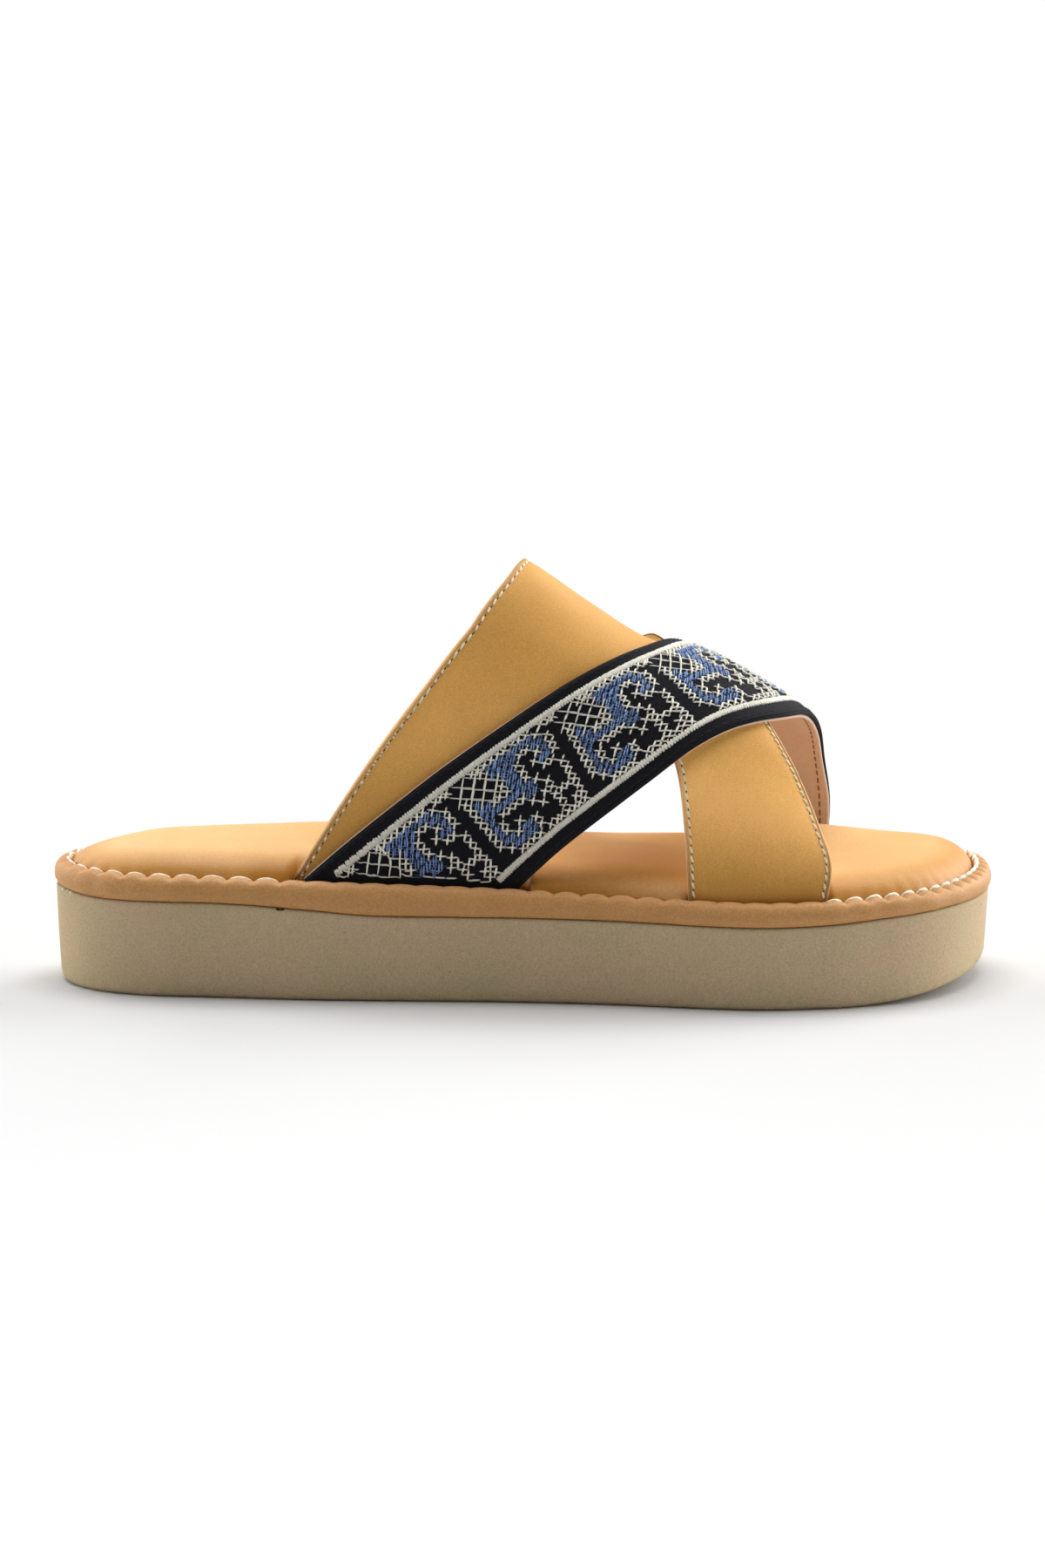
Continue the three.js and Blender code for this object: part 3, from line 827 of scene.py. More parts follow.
class StrapProperties(bpy.types.PropertyGroup):
    leather: colour("Leather", "Colour of the leather straps", (0.66, 0.337, 0.072))
    lining: colour("Lining", "Colour of the linings and the strap's backing", (0.7, 0.53, 0.42))
    thread: colour("Thread", "Colour of the edge stitches", (0.94, 0.84, 0.62))
    lining_thread: colour("Lining thread", "Colour of the stitches on the lining", (0.33, 0.09, 0.05))
    pitch: length("Stitch pitch", "Distance between edge stitches on the rear strap", 3.1 * MM)
    front_pitch: length("Front stitch pitch", "Distance between edge stitches on the front leg", 2.45 * MM)
    inside: length("Stitch inset", "Distance of the stitches from the edge", 1.8 * MM)
    thread_radius: length("Thread radius", "Radius of the edge thread", 0.32 * MM)
    groove: length("Groove", "How deep the edge stitches pull the leather in", 0.22 * MM)


class EmbroideryProperties(bpy.types.PropertyGroup):
    felt: colour("Felt", "Colour of the ground", (0.0052, 0.0052, 0.0075))
    cream: colour("Cream", "Colour of the cream thread", (1.0, 0.95, 0.83))
    blue: colour("Dark blue", "Colour of the darkest blue thread", (0.025, 0.05, 0.16))
    light_blue: colour("Light blue", "Colour of the lightest blue thread", (0.3, 0.49, 0.92))
    repeat: length("Repeat", "Length of one repeat along the strap", 34 * MM)
    first_bar: length("First bar", "Where the first repeat starts above the rim", 22.6 * MM)
    width: length("Width", "Width of the strap that the chart is drawn for", 36.2 * MM)
    rear_border: length("Rear border", "Plain border along the rear edge", 3.4 * MM)
    front_border: length("Front border", "Plain border along the front edge", 3.9 * MM)
    line: length("Line", "Width of the satin-stitched lines", 1.7 * MM)
    cream_radius: length("Cream radius", "Radius of the cream thread", 0.29 * MM)
    blue_radius: length("Blue radius", "Radius of the blue thread", 0.19 * MM)


class StudioProperties(bpy.types.PropertyGroup):
    floor: colour("Floor", "Colour of the floor and the backdrop", (0.578, 0.578, 0.578))
    distance: length("Camera distance", "Distance of the camera from the sandal", 1.8)
    elevation: bpy.props.FloatProperty(
        name="Camera elevation",
        description="Angle of the camera over the floor",
        default=math.radians(9.6),
        subtype="ANGLE",
    )
    lens: bpy.props.FloatProperty(name="Lens", description="Focal length in millimetres", default=148.4)


# Rim stitches, shared by the rim, its thread and the footbed


FIRST_STITCH = 26.4 * MM  # a stitch starts here on the outer side, measured from the heel


def stitch_phase(place, s):
    """Number of stitches passed on the way round the outline."""
    sizes = bpy.context.scene.sandal_sole
    share = fade(0.78, 0.9, s / LENGTH)
    pitch = sizes.heel_pitch + (sizes.toe_pitch - sizes.heel_pitch) * share
    steps = np.diff(place, append=2 * place[-1] - place[-2])
    passed = np.concatenate([[0], np.cumsum(steps / pitch)])
    whole = round(float(passed[-1]))
    passed = passed * whole / passed[-1]
    outer_half = s[: len(s) // 2]
    passed -= np.interp(FIRST_STITCH, outer_half, passed[: len(outer_half)])
    return passed[:-1], whole


def under_strap(s, y):
    """1 where a strap goes down beside the footbed, 0 elsewhere, and its thickness there.

    Each foot has its side, where it starts and ends, its thickness and how soft both ends are.
    """
    outer = y < edge(s, -1) / 2 + edge(s, 1) / 2
    feet = (
        (True, cut(LEATHER_CUT, "rear")(0), cut(BAND_CUT, "front")(0), REAR_STACK, 1.5 * MM),
        (True, cut(LEATHER_CUT, "window_front")(0), cut(LEATHER_CUT, "front")(0), LEATHER, 1.5 * MM),
        (False, cut(LEATHER_CUT, "rear")(1), cut(LEATHER_CUT, "front")(1), LEATHER, 3 * MM),
        (False, cut(BAND_CUT, "rear")(1), cut(BAND_CUT, "front")(1) + 1.5 * MM, FRONT_STACK, 3 * MM),
    )
    share, thick = np.zeros_like(s), np.zeros_like(s)
    for on_outer, start, end, stack, soft in feet:
        start, end = start - FOOT_ROOM, end + FOOT_ROOM
        here = fade(start - soft, start, s) * (1 - fade(end, end + soft, s)) * (outer == on_outer)
        share = np.maximum(share, here)
        thick = np.maximum(thick, here * (stack + 2 * GAP))
    return share, thick


# Wear on the platform's outer wall: distance from the heel, share of the height, size and colour
NICK, GLUE = (0.05, 0.03, 0.02), (0.85, 0.75, 0.62)
WEAR_MARKS = (
    (63.4 * MM, 1.008, 0.75 * MM, NICK),
    (64.3 * MM, 1.005, 0.85 * MM, NICK),
    (65.2 * MM, 1.008, 0.75 * MM, NICK),
    (67.2 * MM, 1.008, 0.6 * MM, NICK),
    (1.2 * MM, 1.008, 0.8 * MM, GLUE),
    (2.2 * MM, 1.005, 1.0 * MM, GLUE),
    (3.3 * MM, 1.005, 0.9 * MM, GLUE),
    (4.6 * MM, 1.0, 0.8 * MM, GLUE),
    (82.0 * MM, 0.8, 0.3 * MM, NICK),
    (110.4 * MM, 0.36, 0.32 * MM, NICK),
    (259.0 * MM, 0.86, 0.35 * MM, NICK),
)


class SANDAL_OT_platform(bpy.types.Operator):
    """Make the foam platform: drafted wall, rounded lower edge, flat underside and toe spring"""

    bl_idname = "sandal.platform"
    bl_label = "Platform"

    def execute(self, context):
        ring, inward = outline_ring(260)
        foot = RIM_OVERHANG + WALL_DRAFT
        levels = []
        for turn in np.linspace(0, 90, 7):
            c, d = turned(turn)
            levels.append((foot + FLOOR_EDGE * (1 - d), 0.0, FLOOR_EDGE * (1 - c)))
        for share in np.linspace(0.12, 0.94, 16):
            levels.append((RIM_OVERHANG + WALL_DRAFT * (1 - share), share, 0.0))
        for turn in (0, 45, 90):
            c, d = turned(turn)
            levels.append((RIM_OVERHANG + TOP_EDGE * (1 - c), 1.0, -TOP_EDGE * (1 - d)))
        levels.append((RIM_OVERHANG + 6 * TOP_EDGE, 1.0, 0.0))
        rings = []
        for inset, share, extra in levels:
            points = ring + inward * inset
            s = from_heel(points)
            height = sole_bottom(s) * (1 - share) + rim_seam(s) * share + extra
            raised_ring = raise_ring(points, height)
            uneven = 0.12 * MM * ripple(raised_ring, 26 * MM, SEEDS["wall"]) * fade(0, 0.1, share)
            ragged = 0.12 * MM * ripple(raised_ring, 3 * MM, SEEDS["crumbs"]) * (1 - fade(0.0, 0.12, share))
            raised_ring[:, :2] += inward * (uneven + ragged)[:, None]
            rings.append(raised_ring)
        marks = []
        outer = ring[:, 1] < edge(from_heel(ring), 0)
        for s, share, size, mark in WEAR_MARKS:
            nearest = int(np.argmin(abs(ring[:, 0] - s) + LENGTH * ~outer))
            x, y = ring[nearest] + inward[nearest] * (RIM_OVERHANG + WALL_DRAFT * (1 - share))
            height = sole_bottom(s) * (1 - share) + rim_seam(s) * share
            marks.append(((x - LENGTH / 2, y, float(height)), size, mark))
        finish = finish_of("sanded_foam", foam_finish, context.scene.sandal_sole.foam, marks)
        stacked("platform", rings, finish, "platform_foam", "platform_sole")
        return {"FINISHED"}


class SANDAL_OT_rim(bpy.types.Operator):
    """Make the leather rim with its scallops, and the thread that pulls them in"""

    bl_idname = "sandal.rim"
    bl_label = "Rim and its stitches"

    def execute(self, context):
        sizes = context.scene.sandal_sole
        ring, inward, place = even_ring()
        s = from_heel(ring)
        phase, whole = stitch_phase(place, s)
        strap, _ = under_strap(s, ring[:, 1])
        pull = (1 - np.abs(np.sin(math.pi * phase)) ** 0.75) * (1 - 0.6 * strap)
        wrinkle = 0.3 * MM * hump(phase - np.round(phase), 0, 0.1) * fade(0.9, 0.96, s / LENGTH)
        corners = len(RIM_SECTION["up"])
        shares = np.linspace(0, corners - 1, 30)
        section = {"at": np.arange(corners), **RIM_SECTION}
        across, up = along(section, "across", shares), along(section, "up", shares)
        rings = []
        for a, b in list(zip(across, up)) + [(1.0, 0.45), (1.0, 0.0)]:
            sunk = fade(0.02, 0.5, a) * fade(0.45, 0.95, b)
            points = ring + inward * (a * RIM_WIDTH)
            seam = rim_seam(s) + GAP
            height = seam + (rim_top(s) - seam) * b - (sizes.scallop * pull + wrinkle) * sunk
            rings.append(raise_ring(points, height))
            swell = 0.1 * MM * ripple(rings[-1], 9 * MM, SEEDS["rim"])
            rings[-1][:, :2] += inward * (swell * (1 - a))[:, None]
        rings = rings[::-1]
        faces = [f[::-1] for f in wall_faces(len(rings), len(ring), closed_rows=True)]
        leather = finish_of("rim_leather", leather_finish, sizes.rim, grain=0.6 * MM, roughness=0.58)
        new_piece("rim", np.concatenate(rings), faces, leather, "rim_leather", "leather_rim")
        self.sew(sizes, ring, inward, phase, whole, strap)
        return {"FINISHED"}

    def sew(self, sizes, ring, inward, phase, whole, strap):
        """One thread after the other over the rim's inner edge, thicker and longer round the toe."""
        first = math.ceil(phase[0])
        steps, sides = 9, 8
        paths, shades, radii = [], [], []
        draw = np.random.default_rng(SEEDS["rim_thread"])
        for k in range(first, first + whole):
            t = np.linspace(0.04, 0.96, steps) + k
            t = np.where(t > phase[-1], t - whole, t)
            x, y = np.interp(t, phase, ring[:, 0]), np.interp(t, phase, ring[:, 1])
            nx, ny = np.interp(t, phase, inward[:, 0]), np.interp(t, phase, inward[:, 1])
            if np.interp(t[steps // 2], phase, strap) > 0.5:
                continue
            distance = np.clip(x, 0, LENGTH)
            arc = np.sin(math.pi * np.linspace(0.02, 0.98, steps))
            middle = 1 - fade(0.79, 0.83, distance / LENGTH)
            hidden = middle * fade(0.245, 0.26, distance / LENGTH)
            toe = float(fade(0.78, 0.88, distance[steps // 2] / LENGTH))
            radii.append(sizes.heel_thread + (sizes.toe_thread - sizes.heel_thread) * toe)
            inset = RIM_WIDTH - (0.45 - 0.2 * toe + 0.8 * arc) * MM
            height = rim_top(distance) + (-1.5 + (1.4 + 0.2 * toe) * arc**0.7 - 0.9 * hidden) * MM
            paths.append(np.stack([x + nx * inset - LENGTH / 2, y + ny * inset, height], axis=1))
            shades.append(np.full((steps, sides), draw.uniform(0, 1)))
        plump = 0.5 + 0.5 * np.sin(math.pi * np.linspace(0, 1, steps)) ** 0.7
        points, faces, uv = tubes(paths, radii, sides, plump)
        thread = finish_of("rim_thread", thread_finish, sizes.thread, twist=4 * MM, depth=0.03 * MM)
        new_piece("rim_stitches", points, faces, thread, "rim_leather", uv=uv, shade=shades)


def support(s, y):
    """Extra height of the footbed under the foot's arch and ball on the inner side, less at the heel."""
    rises = [part["rise"] * hump(s, part["at"] * LENGTH, part["reach"]) for part in SUPPORTS]
    drop = HEEL_DROP * (1 - fade(9 * MM, 36 * MM, s))
    return sum(rises) * fade(ARCH_FROM, ARCH_TO, y / BALL_WIDTH) - drop


# Rings of the footbed: on its slope, and from there to the middle line with their heights
PAD_PLACES = np.array([0, 0.012, 0.03, 0.067, 0.11, 0.173, 0.26, 0.367, 0.5, 0.667, 0.82, 1.0])
PAD_MIDDLE = ((0.15, 0.96), (0.3, 0.973), (0.45, 0.985), (0.65, 0.994), (0.85, 1.0))


class SANDAL_OT_footbed(bpy.types.Operator):
    """Make the padded footbed, crowned, puckered at its stitches and pressed in beside the straps"""

    bl_idname = "sandal.footbed"
    bl_label = "Footbed"

    def execute(self, context):
        sizes = context.scene.sandal_sole
        ring, inward = outline_ring(300)
        even, _, place = even_ring()
        phase, whole = stitch_phase(place, from_heel(even))
        here = np.interp(travelled(ring), place, phase, right=phase[0] + whole)
        pull = 1 - np.abs(np.sin(math.pi * here))
        s = from_heel(ring)
        strap, thick = under_strap(s, ring[:, 1])
        side = RIM_WIDTH + GAP + thick

        def level(inset, up, pucker=0.0):
            points = ring + inward * inset[:, None]
            x = from_heel(points)
            rise = PAD_RISE + PAD_SEAM_DROP + support(x, points[:, 1])
            height = rim_top(x) - PAD_SEAM_DROP + rise * up
            return points, height - pucker * pull * (1 - strap)

        under = ring + inward * side[:, None]
        rings = [raise_ring(under, rim_seam(from_heel(under)) + GAP)]
        rings.append(raise_ring(*level(side, -0.25)))
        for inward_share in PAD_PLACES:
            up = float(along(PAD_CROWN, "up", inward_share, "inward"))
            pucker = 0.5 * MM * math.exp(-inward_share * PAD_SLOPE / (1.5 * MM))
            inset = side + (inward_share * PAD_SLOPE) - thick * fade(0, 1, inward_share)
            rings.append(raise_ring(*level(inset, up, pucker)))
        last = rings[-1][:, :2] + np.array([LENGTH / 2, 0])
        total = len(last)
        mirror = (total - np.arange(total)) % total
        centre = (last + last[mirror]) / 2
        order = np.argsort(centre[:, 0])
        ends = np.clip(centre[:, 0], HEEL_ROUND, LENGTH - TOE_ROUND)
        centre = np.stack([ends, np.interp(ends, centre[order, 0], centre[order, 1])], axis=1)
        for share, up in PAD_MIDDLE:
            points = last + (centre - last) * share
            rise = PAD_RISE + PAD_SEAM_DROP + support(points[:, 0], points[:, 1])
            height = rim_top(points[:, 0]) - PAD_SEAM_DROP + rise * up
            rings.append(raise_ring(points, height))
        for k, points in enumerate(rings[2:]):
            points[:, 2] += 0.1 * MM * ripple(points, 22 * MM, SEEDS["footbed"]) * min(1, k / 6)
        # Painted shade and light on the footbed: rich and turn set how its saturation and hue follow the
        # painted shade.
        look = {"grain": 0.7 * MM, "contrast": 0.11, "roughness": 0.52, "rich": -0.7, "turn": 0.03}
        leather = finish_of("footbed_leather", leather_finish, sizes.pad, **look)
        tone = self.tone(rings, s / LENGTH)
        pad = stacked("footbed_pad", rings, leather, "footbed_leather", "footbed", tone=tone)
        return {"FINISHED"}

    @staticmethod
    def tone(rings, shares):
        """Painted shade along the seam, between the straps and beside the rear foot, and painted light at the
        heel.
        """
        depths = np.concatenate([[0, 0], PAD_PLACES, np.ones(len(PAD_MIDDLE))])
        painted_seam_shade = np.repeat(-0.3 * (1 - fade(0.0, 0.8, depths)), len(shares))
        share = np.tile(shares, len(rings))
        inner_part = np.repeat(fade(0.1, 0.6, depths), len(shares))
        between = hump(share, 0.65, 0.07)
        beside = hump(share, 0.235, 0.03) * (1 - inner_part)
        tone = painted_seam_shade * (1 - 0.8 * between) - 0.22 * between * inner_part - 0.14 * beside
        return tone + 0.07 * (1 - fade(0.15, 0.35, share))


def distance_to(points, lines):
    """Distance of each point to the nearest of some densely sampled lines."""
    best = np.full(len(points), np.inf)
    block = 2000
    for line in lines:
        for start in range(0, len(points), block):
            part = slice(start, start + block)
            gap = np.linalg.norm(points[part, None] - line[None], axis=2).min(axis=1)
            best[part] = np.minimum(best[part], gap)
    return best


def leather_top(way):
    return np.full_like(np.asarray(way, float), LEATHER)


# Stitched edges: column, where on the way over the arch the row starts and ends, side, close pitch
LEATHER_EDGES = (
    ("rear", 0.0, 1.0, 1, False),
    ("front", 0.0, 0.45, -1, True),
    ("front", 0.8, 1.0, -1, False),
    ("window_front", 0.0, WINDOW_TOP, 1, True),
)


def lining_finish(sizes):
    return finish_of("lining_leather", leather_finish, sizes.lining, grain=0.8 * MM, contrast=0.08)


class SANDAL_OT_leather_straps(bpy.types.Operator):
    """Make the leather straps with turned edges, edge stitches, painted shadows in the needle holes and a
    lining
    """

    bl_idname = "sandal.leather_straps"
    bl_label = "Leather straps"

    def execute(self, context):
        sizes = context.scene.sandal_straps
        sheet = leather_sheet(170, 16)
        raise_lip = lip(sheet["column"], sheet["way"]) * sheet["front"]
        middle = on_sheet(sheet, LEATHER / 2)
        lines = []
        for column in ("rear", "front", "window_rear", "window_front"):
            ways = np.linspace(0, WINDOW_TOP if column.startswith("window") else 1, 500)
            lines.append(raised(cut(LEATHER_CUT, column)(ways), ways, LEATHER / 2))
        away = distance_to(middle, lines)
        groove = sizes.groove * hump(away, sizes.inside, 0.45 * MM)
        soft = 0.16 * MM * ripple(middle, 24 * MM, SEEDS["leather"]) * fade(2 * MM, 8 * MM, away)
        outer = LEATHER + raise_lip - groove + soft
        # Painted sheen near the edges; painted light and shade on the legs, and painted shade on the puckered
        # lip.
        painted = {
            "painted_edge_sheen": 1 - fade(0.2 * MM, 1.1 * MM, away),
            "tone": self.tone(sheet) - 0.5 * raise_lip / LIP_RISE,
        }
        sheen = {"Sheen_Weight": 0.05, "Sheen_Roughness": 0.4, "Specular_IOR_Level": 0.3}
        leather = finish_of(
            "strap_leather", leather_finish, sizes.leather, grain=0.34 * MM, rich=-0.1, **sheen
        )
        shell("leather_straps", sheet, raise_lip, outer, leather, "strap_leather", "strap_upper", **painted)
        sheet = leather_sheet(110, 10, 1.5 * MM)
        raise_lip = lip(sheet["column"], sheet["way"]) * sheet["front"]
        low, high = raise_lip - 0.15 * MM, raise_lip + 0.4 * MM
        shell("leather_strap_lining", sheet, low, high, lining_finish(sizes), "strap_leather")
        self.sew(sizes)
        return {"FINISHED"}

    @staticmethod
    def tone(sheet):
        """Painted light and shade: lighter where the legs bulge, darker at their feet and towards the crest.
        """
        way = sheet["way"]
        bulge = hump(way, 0.17, 0.085) * (0.24 + 0.4 * sheet["front"])
        return bulge - 0.2 * hump(np.clip(way, 0, None), 0, 0.055) - 0.1 * hump(way, 0.47, 0.07)

    def sew(self, sizes):
        """Edge stitches in the leather, and the painted shadows of the needle holes between them."""
        paths, hole_shadows = [], []
        for column, start, end, side, close in LEATHER_EDGES:
            pitch = sizes.front_pitch if close else sizes.pitch
            ways = np.linspace(start, end, 900)
            s, way = edge_path(column, LEATHER_CUT, leather_top, sizes.inside, ways, side)
            rise = np.full_like(way, LEATHER - 0.7 * sizes.groove)
            paths.append(stitches(s, way, rise, pitch, 0.82, sizes.thread_radius, 0.25 * MM))
            hole_shadows.append(hole_shadow_paths(s, way, rise, pitch))
        thread = finish_of("edge_thread", thread_finish, sizes.thread)
        rows = np.concatenate(paths)
        plump = 0.6 + 0.4 * np.sin(math.pi * np.linspace(0, 1, rows.shape[1])) ** 0.5
        points, faces, uv = tubes(rows, sizes.thread_radius, 8, plump)
        draw = np.random.default_rng(SEEDS["edge_thread"])
        shade = np.repeat(draw.uniform(0, 1, len(rows)), len(points) // len(rows))
        new_piece("leather_edge_stitches", points, faces, thread, "strap_leather", uv=uv, shade=shade)
        # Painted shadow: a dark finish for the needle holes.
        dark = finish_of("needle_hole", plain_finish, (0.06, 0.035, 0.015), 0.9)
        points, faces, _ = tubes(np.concatenate(hole_shadows), 0.2 * MM, 6)
        new_piece("painted_hole_shadows", points, faces, dark, "strap_leather")


def line_frames(s, way, rise):
    """Points, normals and sideways directions along a line on the arch, and its length so far."""
    base = raised(s, way, rise)
    normal = arch_normal(s, way)
    across = np.cross(normal, unit(np.gradient(base, axis=0)))
    return np.concatenate([base, normal, across], axis=1), travelled(base)


def rows_at(full, arc, places):
    return np.stack([np.interp(places, arc, full[:, c]) for c in range(full.shape[1])], axis=-1)


def stitches(s, way, rise, pitch, share, radius, slant):
    """Paths of a row of stitches; share is how much of the pitch shows above the surface."""
    full, arc = line_frames(s, way, rise)
    steps = 7
    t = np.linspace(-0.5, 0.5, steps)
    up = (radius * (1.3 * np.cos(math.pi * t) ** 0.6 - 0.9))[:, None]
    paths = []
    for k in range(int(arc[-1] / pitch)):
        row = rows_at(full, arc, (k + 0.5 + t * share) * pitch)
        paths.append(row[:, :3] + row[:, 3:6] * up + row[:, 6:9] * (2 * t * slant)[:, None])
    return np.array(paths)


def hole_shadow_paths(s, way, rise, pitch):
    """Short dark tubes between the stitches, painted shadow in the needle holes where the thread goes under
    the leather.
    """
    full, arc = line_frames(s, way, rise)
    half, steps = 0.17, 4
    paths = []
    for k in range(1, int(arc[-1] / pitch)):
        row = rows_at(full, arc, (k + np.linspace(-half, half, steps)) * pitch)
        paths.append(row[:, :3] + row[:, 3:6] * (-0.12 * MM))
    return np.array(paths)


# Embroidered strap


class BandCloth:
    """Places on the embroidered strap by distance along its middle line and across it."""

    def __init__(self, columns=320, steps=24, half=25 * MM):
        low, high = -0.2, 1.0
        ways = np.linspace(low, high, 1500)
        path = raised(self.middle(ways), ways, band_top(ways))
        arc = travelled(path)
        arc -= np.interp(0, ways, arc)
        self.a = np.linspace(arc[0], arc[-1], columns)
        way = np.interp(self.a, arc, ways)
        s = self.middle(way)
        forward = unit(np.gradient(raised(s, way, band_top(way)), axis=0))
        across = np.cross(forward, arch_normal(s, way))
        rows = {0: (s, way)}
        for sign in (-1, 1):
            here_s, here_way, direction = s, way, sign * across
            for k in range(1, steps + 1):
                here_s, here_way, direction = walk(here_s, here_way, direction, half / steps, band_top)
                rows[sign * k] = (here_s, here_way)
        order = range(-steps, steps + 1)
        self.b = np.array(order) * half / steps
        self.s = np.array([rows[k][0] for k in order])
        self.way = np.array([rows[k][1] for k in order])
        self.points = raised(self.s, self.way, band_top(self.way))
        self.normals = arch_normal(self.s, self.way)
        self.rear, self.front = self.edges()

    @staticmethod
    def middle(way):
        """Middle line, which goes straight on below the rim."""
        lean = 1.25
        s = (cut(BAND_CUT, "rear")(way) + cut(BAND_CUT, "front")(way)) / 2
        return s + np.clip(way, None, 0) * lean * FOOT_DEPTH / FOOT_ROUND

    def edges(self):
        """Distance across to the rear and the front edge, held steady where they lie below the rim."""
        found = []
        for column, sign in (("rear", -1), ("front", 1)):
            past = sign * (self.s - cut(BAND_CUT, column)(self.way))
            values = np.full(len(self.a), np.nan)
            for i in range(len(self.a)):
                rows = np.argsort(sign * self.b)
                line, b, way = past[rows, i], self.b[rows], self.way[rows, i]
                crossing = np.flatnonzero((line[:-1] < 0) & (line[1:] >= 0))
                if len(crossing) and way[crossing[0]] > 0:
                    k = crossing[0]
                    values[i] = b[k] + (b[k + 1] - b[k]) * line[k] / (line[k] - line[k + 1])
            good = np.isfinite(values)
            values = np.interp(self.a, self.a[good], values[good])
            kernel = np.hanning(21)
            padded = np.pad(values, 10, mode="edge")
            found.append(np.convolve(padded, kernel / kernel.sum(), mode="valid"))
        return found

    def at(self, a, across):
        """Points and normals for distances along the strap and shares across it, 0 at the rear edge."""
        rear, front = np.interp(a, self.a, self.rear), np.interp(a, self.a, self.front)
        b = rear + (front - rear) * across
        i = np.clip((a - self.a[0]) / (self.a[1] - self.a[0]), 0, len(self.a) - 1.001)
        j = np.clip((b - self.b[0]) / (self.b[1] - self.b[0]), 0, len(self.b) - 1.001)
        i0, j0 = i.astype(int), j.astype(int)
        fi, fj = (i - i0)[..., None], (j - j0)[..., None]

        def blend(grid):
            low = grid[j0, i0] * (1 - fi) + grid[j0, i0 + 1] * fi
            high = grid[j0 + 1, i0] * (1 - fi) + grid[j0 + 1, i0 + 1] * fi
            return low * (1 - fj) + high * fj

        return blend(self.points), unit(blend(self.normals))


class SANDAL_OT_embroidered_strap(bpy.types.Operator):
    """Make the embroidered strap's leather backing, its felt and the stitches along its edges"""

    bl_idname = "sandal.embroidered_strap"
    bl_label = "Embroidered strap"

    def execute(self, context):
        straps, sizes = context.scene.sandal_straps, context.scene.sandal_embroidery
        ways = rows_over(180)
        shares = edge_columns(38 * MM, 22)
        rear, cut_front = cut(BAND_CUT, "rear"), cut(BAND_CUT, "front")

        def front(way):
            return cut_front(way) + INNER_LEG_WIDER * fade(0.72, 0.86, way) * (1 - 0.7 * fade(0.88, 1, way))

        felt_sheet = strip(ways, shares, rear, lambda way: front(way) + FELT_FRONT)
        below = laid(felt_sheet["way"]) + BACKING + GAP / 3
        edge_share = np.minimum(felt_sheet["column"], 1 - felt_sheet["column"])
        thick = BAND + GAP * 2 / 3 - 0.25 * MM * (1 - fade(0.0, 0.03, edge_share))
        felt = finish_of("black_felt", felt_finish, sizes.felt)
        shell("felt_band", felt_sheet, below, below + thick, felt, "embroidered_felt", "embroidered_band")
        wide = strip(
            ways, shares, lambda way: rear(way) - BACKING_REAR, lambda way: front(way) + BACKING_FRONT
        )
        base = laid(wide["way"])
        lining = lining_finish(straps)
        shell(
            "embroidered_strap_backing", wide, base, base + BACKING, lining, "strap_leather", reach=0.6 * MM
        )
        self.sew(straps, sizes)
        return {"FINISHED"}

    def sew(self, straps, sizes):
        """Black stitches on the felt and red ones on the lining, along both edges."""
        ways = np.linspace(0, 1, 900)
        pitch, share = 2.6 * MM, 0.75
        outside, inside = [], []
        for column, side in (("rear", 1), ("front", -1)):
            s, way = edge_path(column, BAND_CUT, band_top, 1.3 * MM, ways, side)
            outside.append(stitches(s, way, band_top(way), pitch, share, 0.16 * MM, 0.0))
            s, way = edge_path(column, BAND_CUT, laid, 1.6 * MM, ways, side)
            inside.append(stitches(s, way, laid(way), pitch, share, -0.22 * MM, 0.0))
        black = finish_of("black_thread", plain_finish, scaled(sizes.felt, 0.7)[:3], 0.9)
        red = finish_of("lining_thread", thread_finish, straps.lining_thread)
        for name, rows, radius, thread in (
            ("felt_edge_stitches", outside, 0.15 * MM, black),
            ("lining_stitches", inside, 0.22 * MM, red),
        ):
            points, faces, uv = tubes(np.concatenate(rows), radius, 6)
            new_piece(name, points, faces, thread, "embroidered_felt", uv=uv)


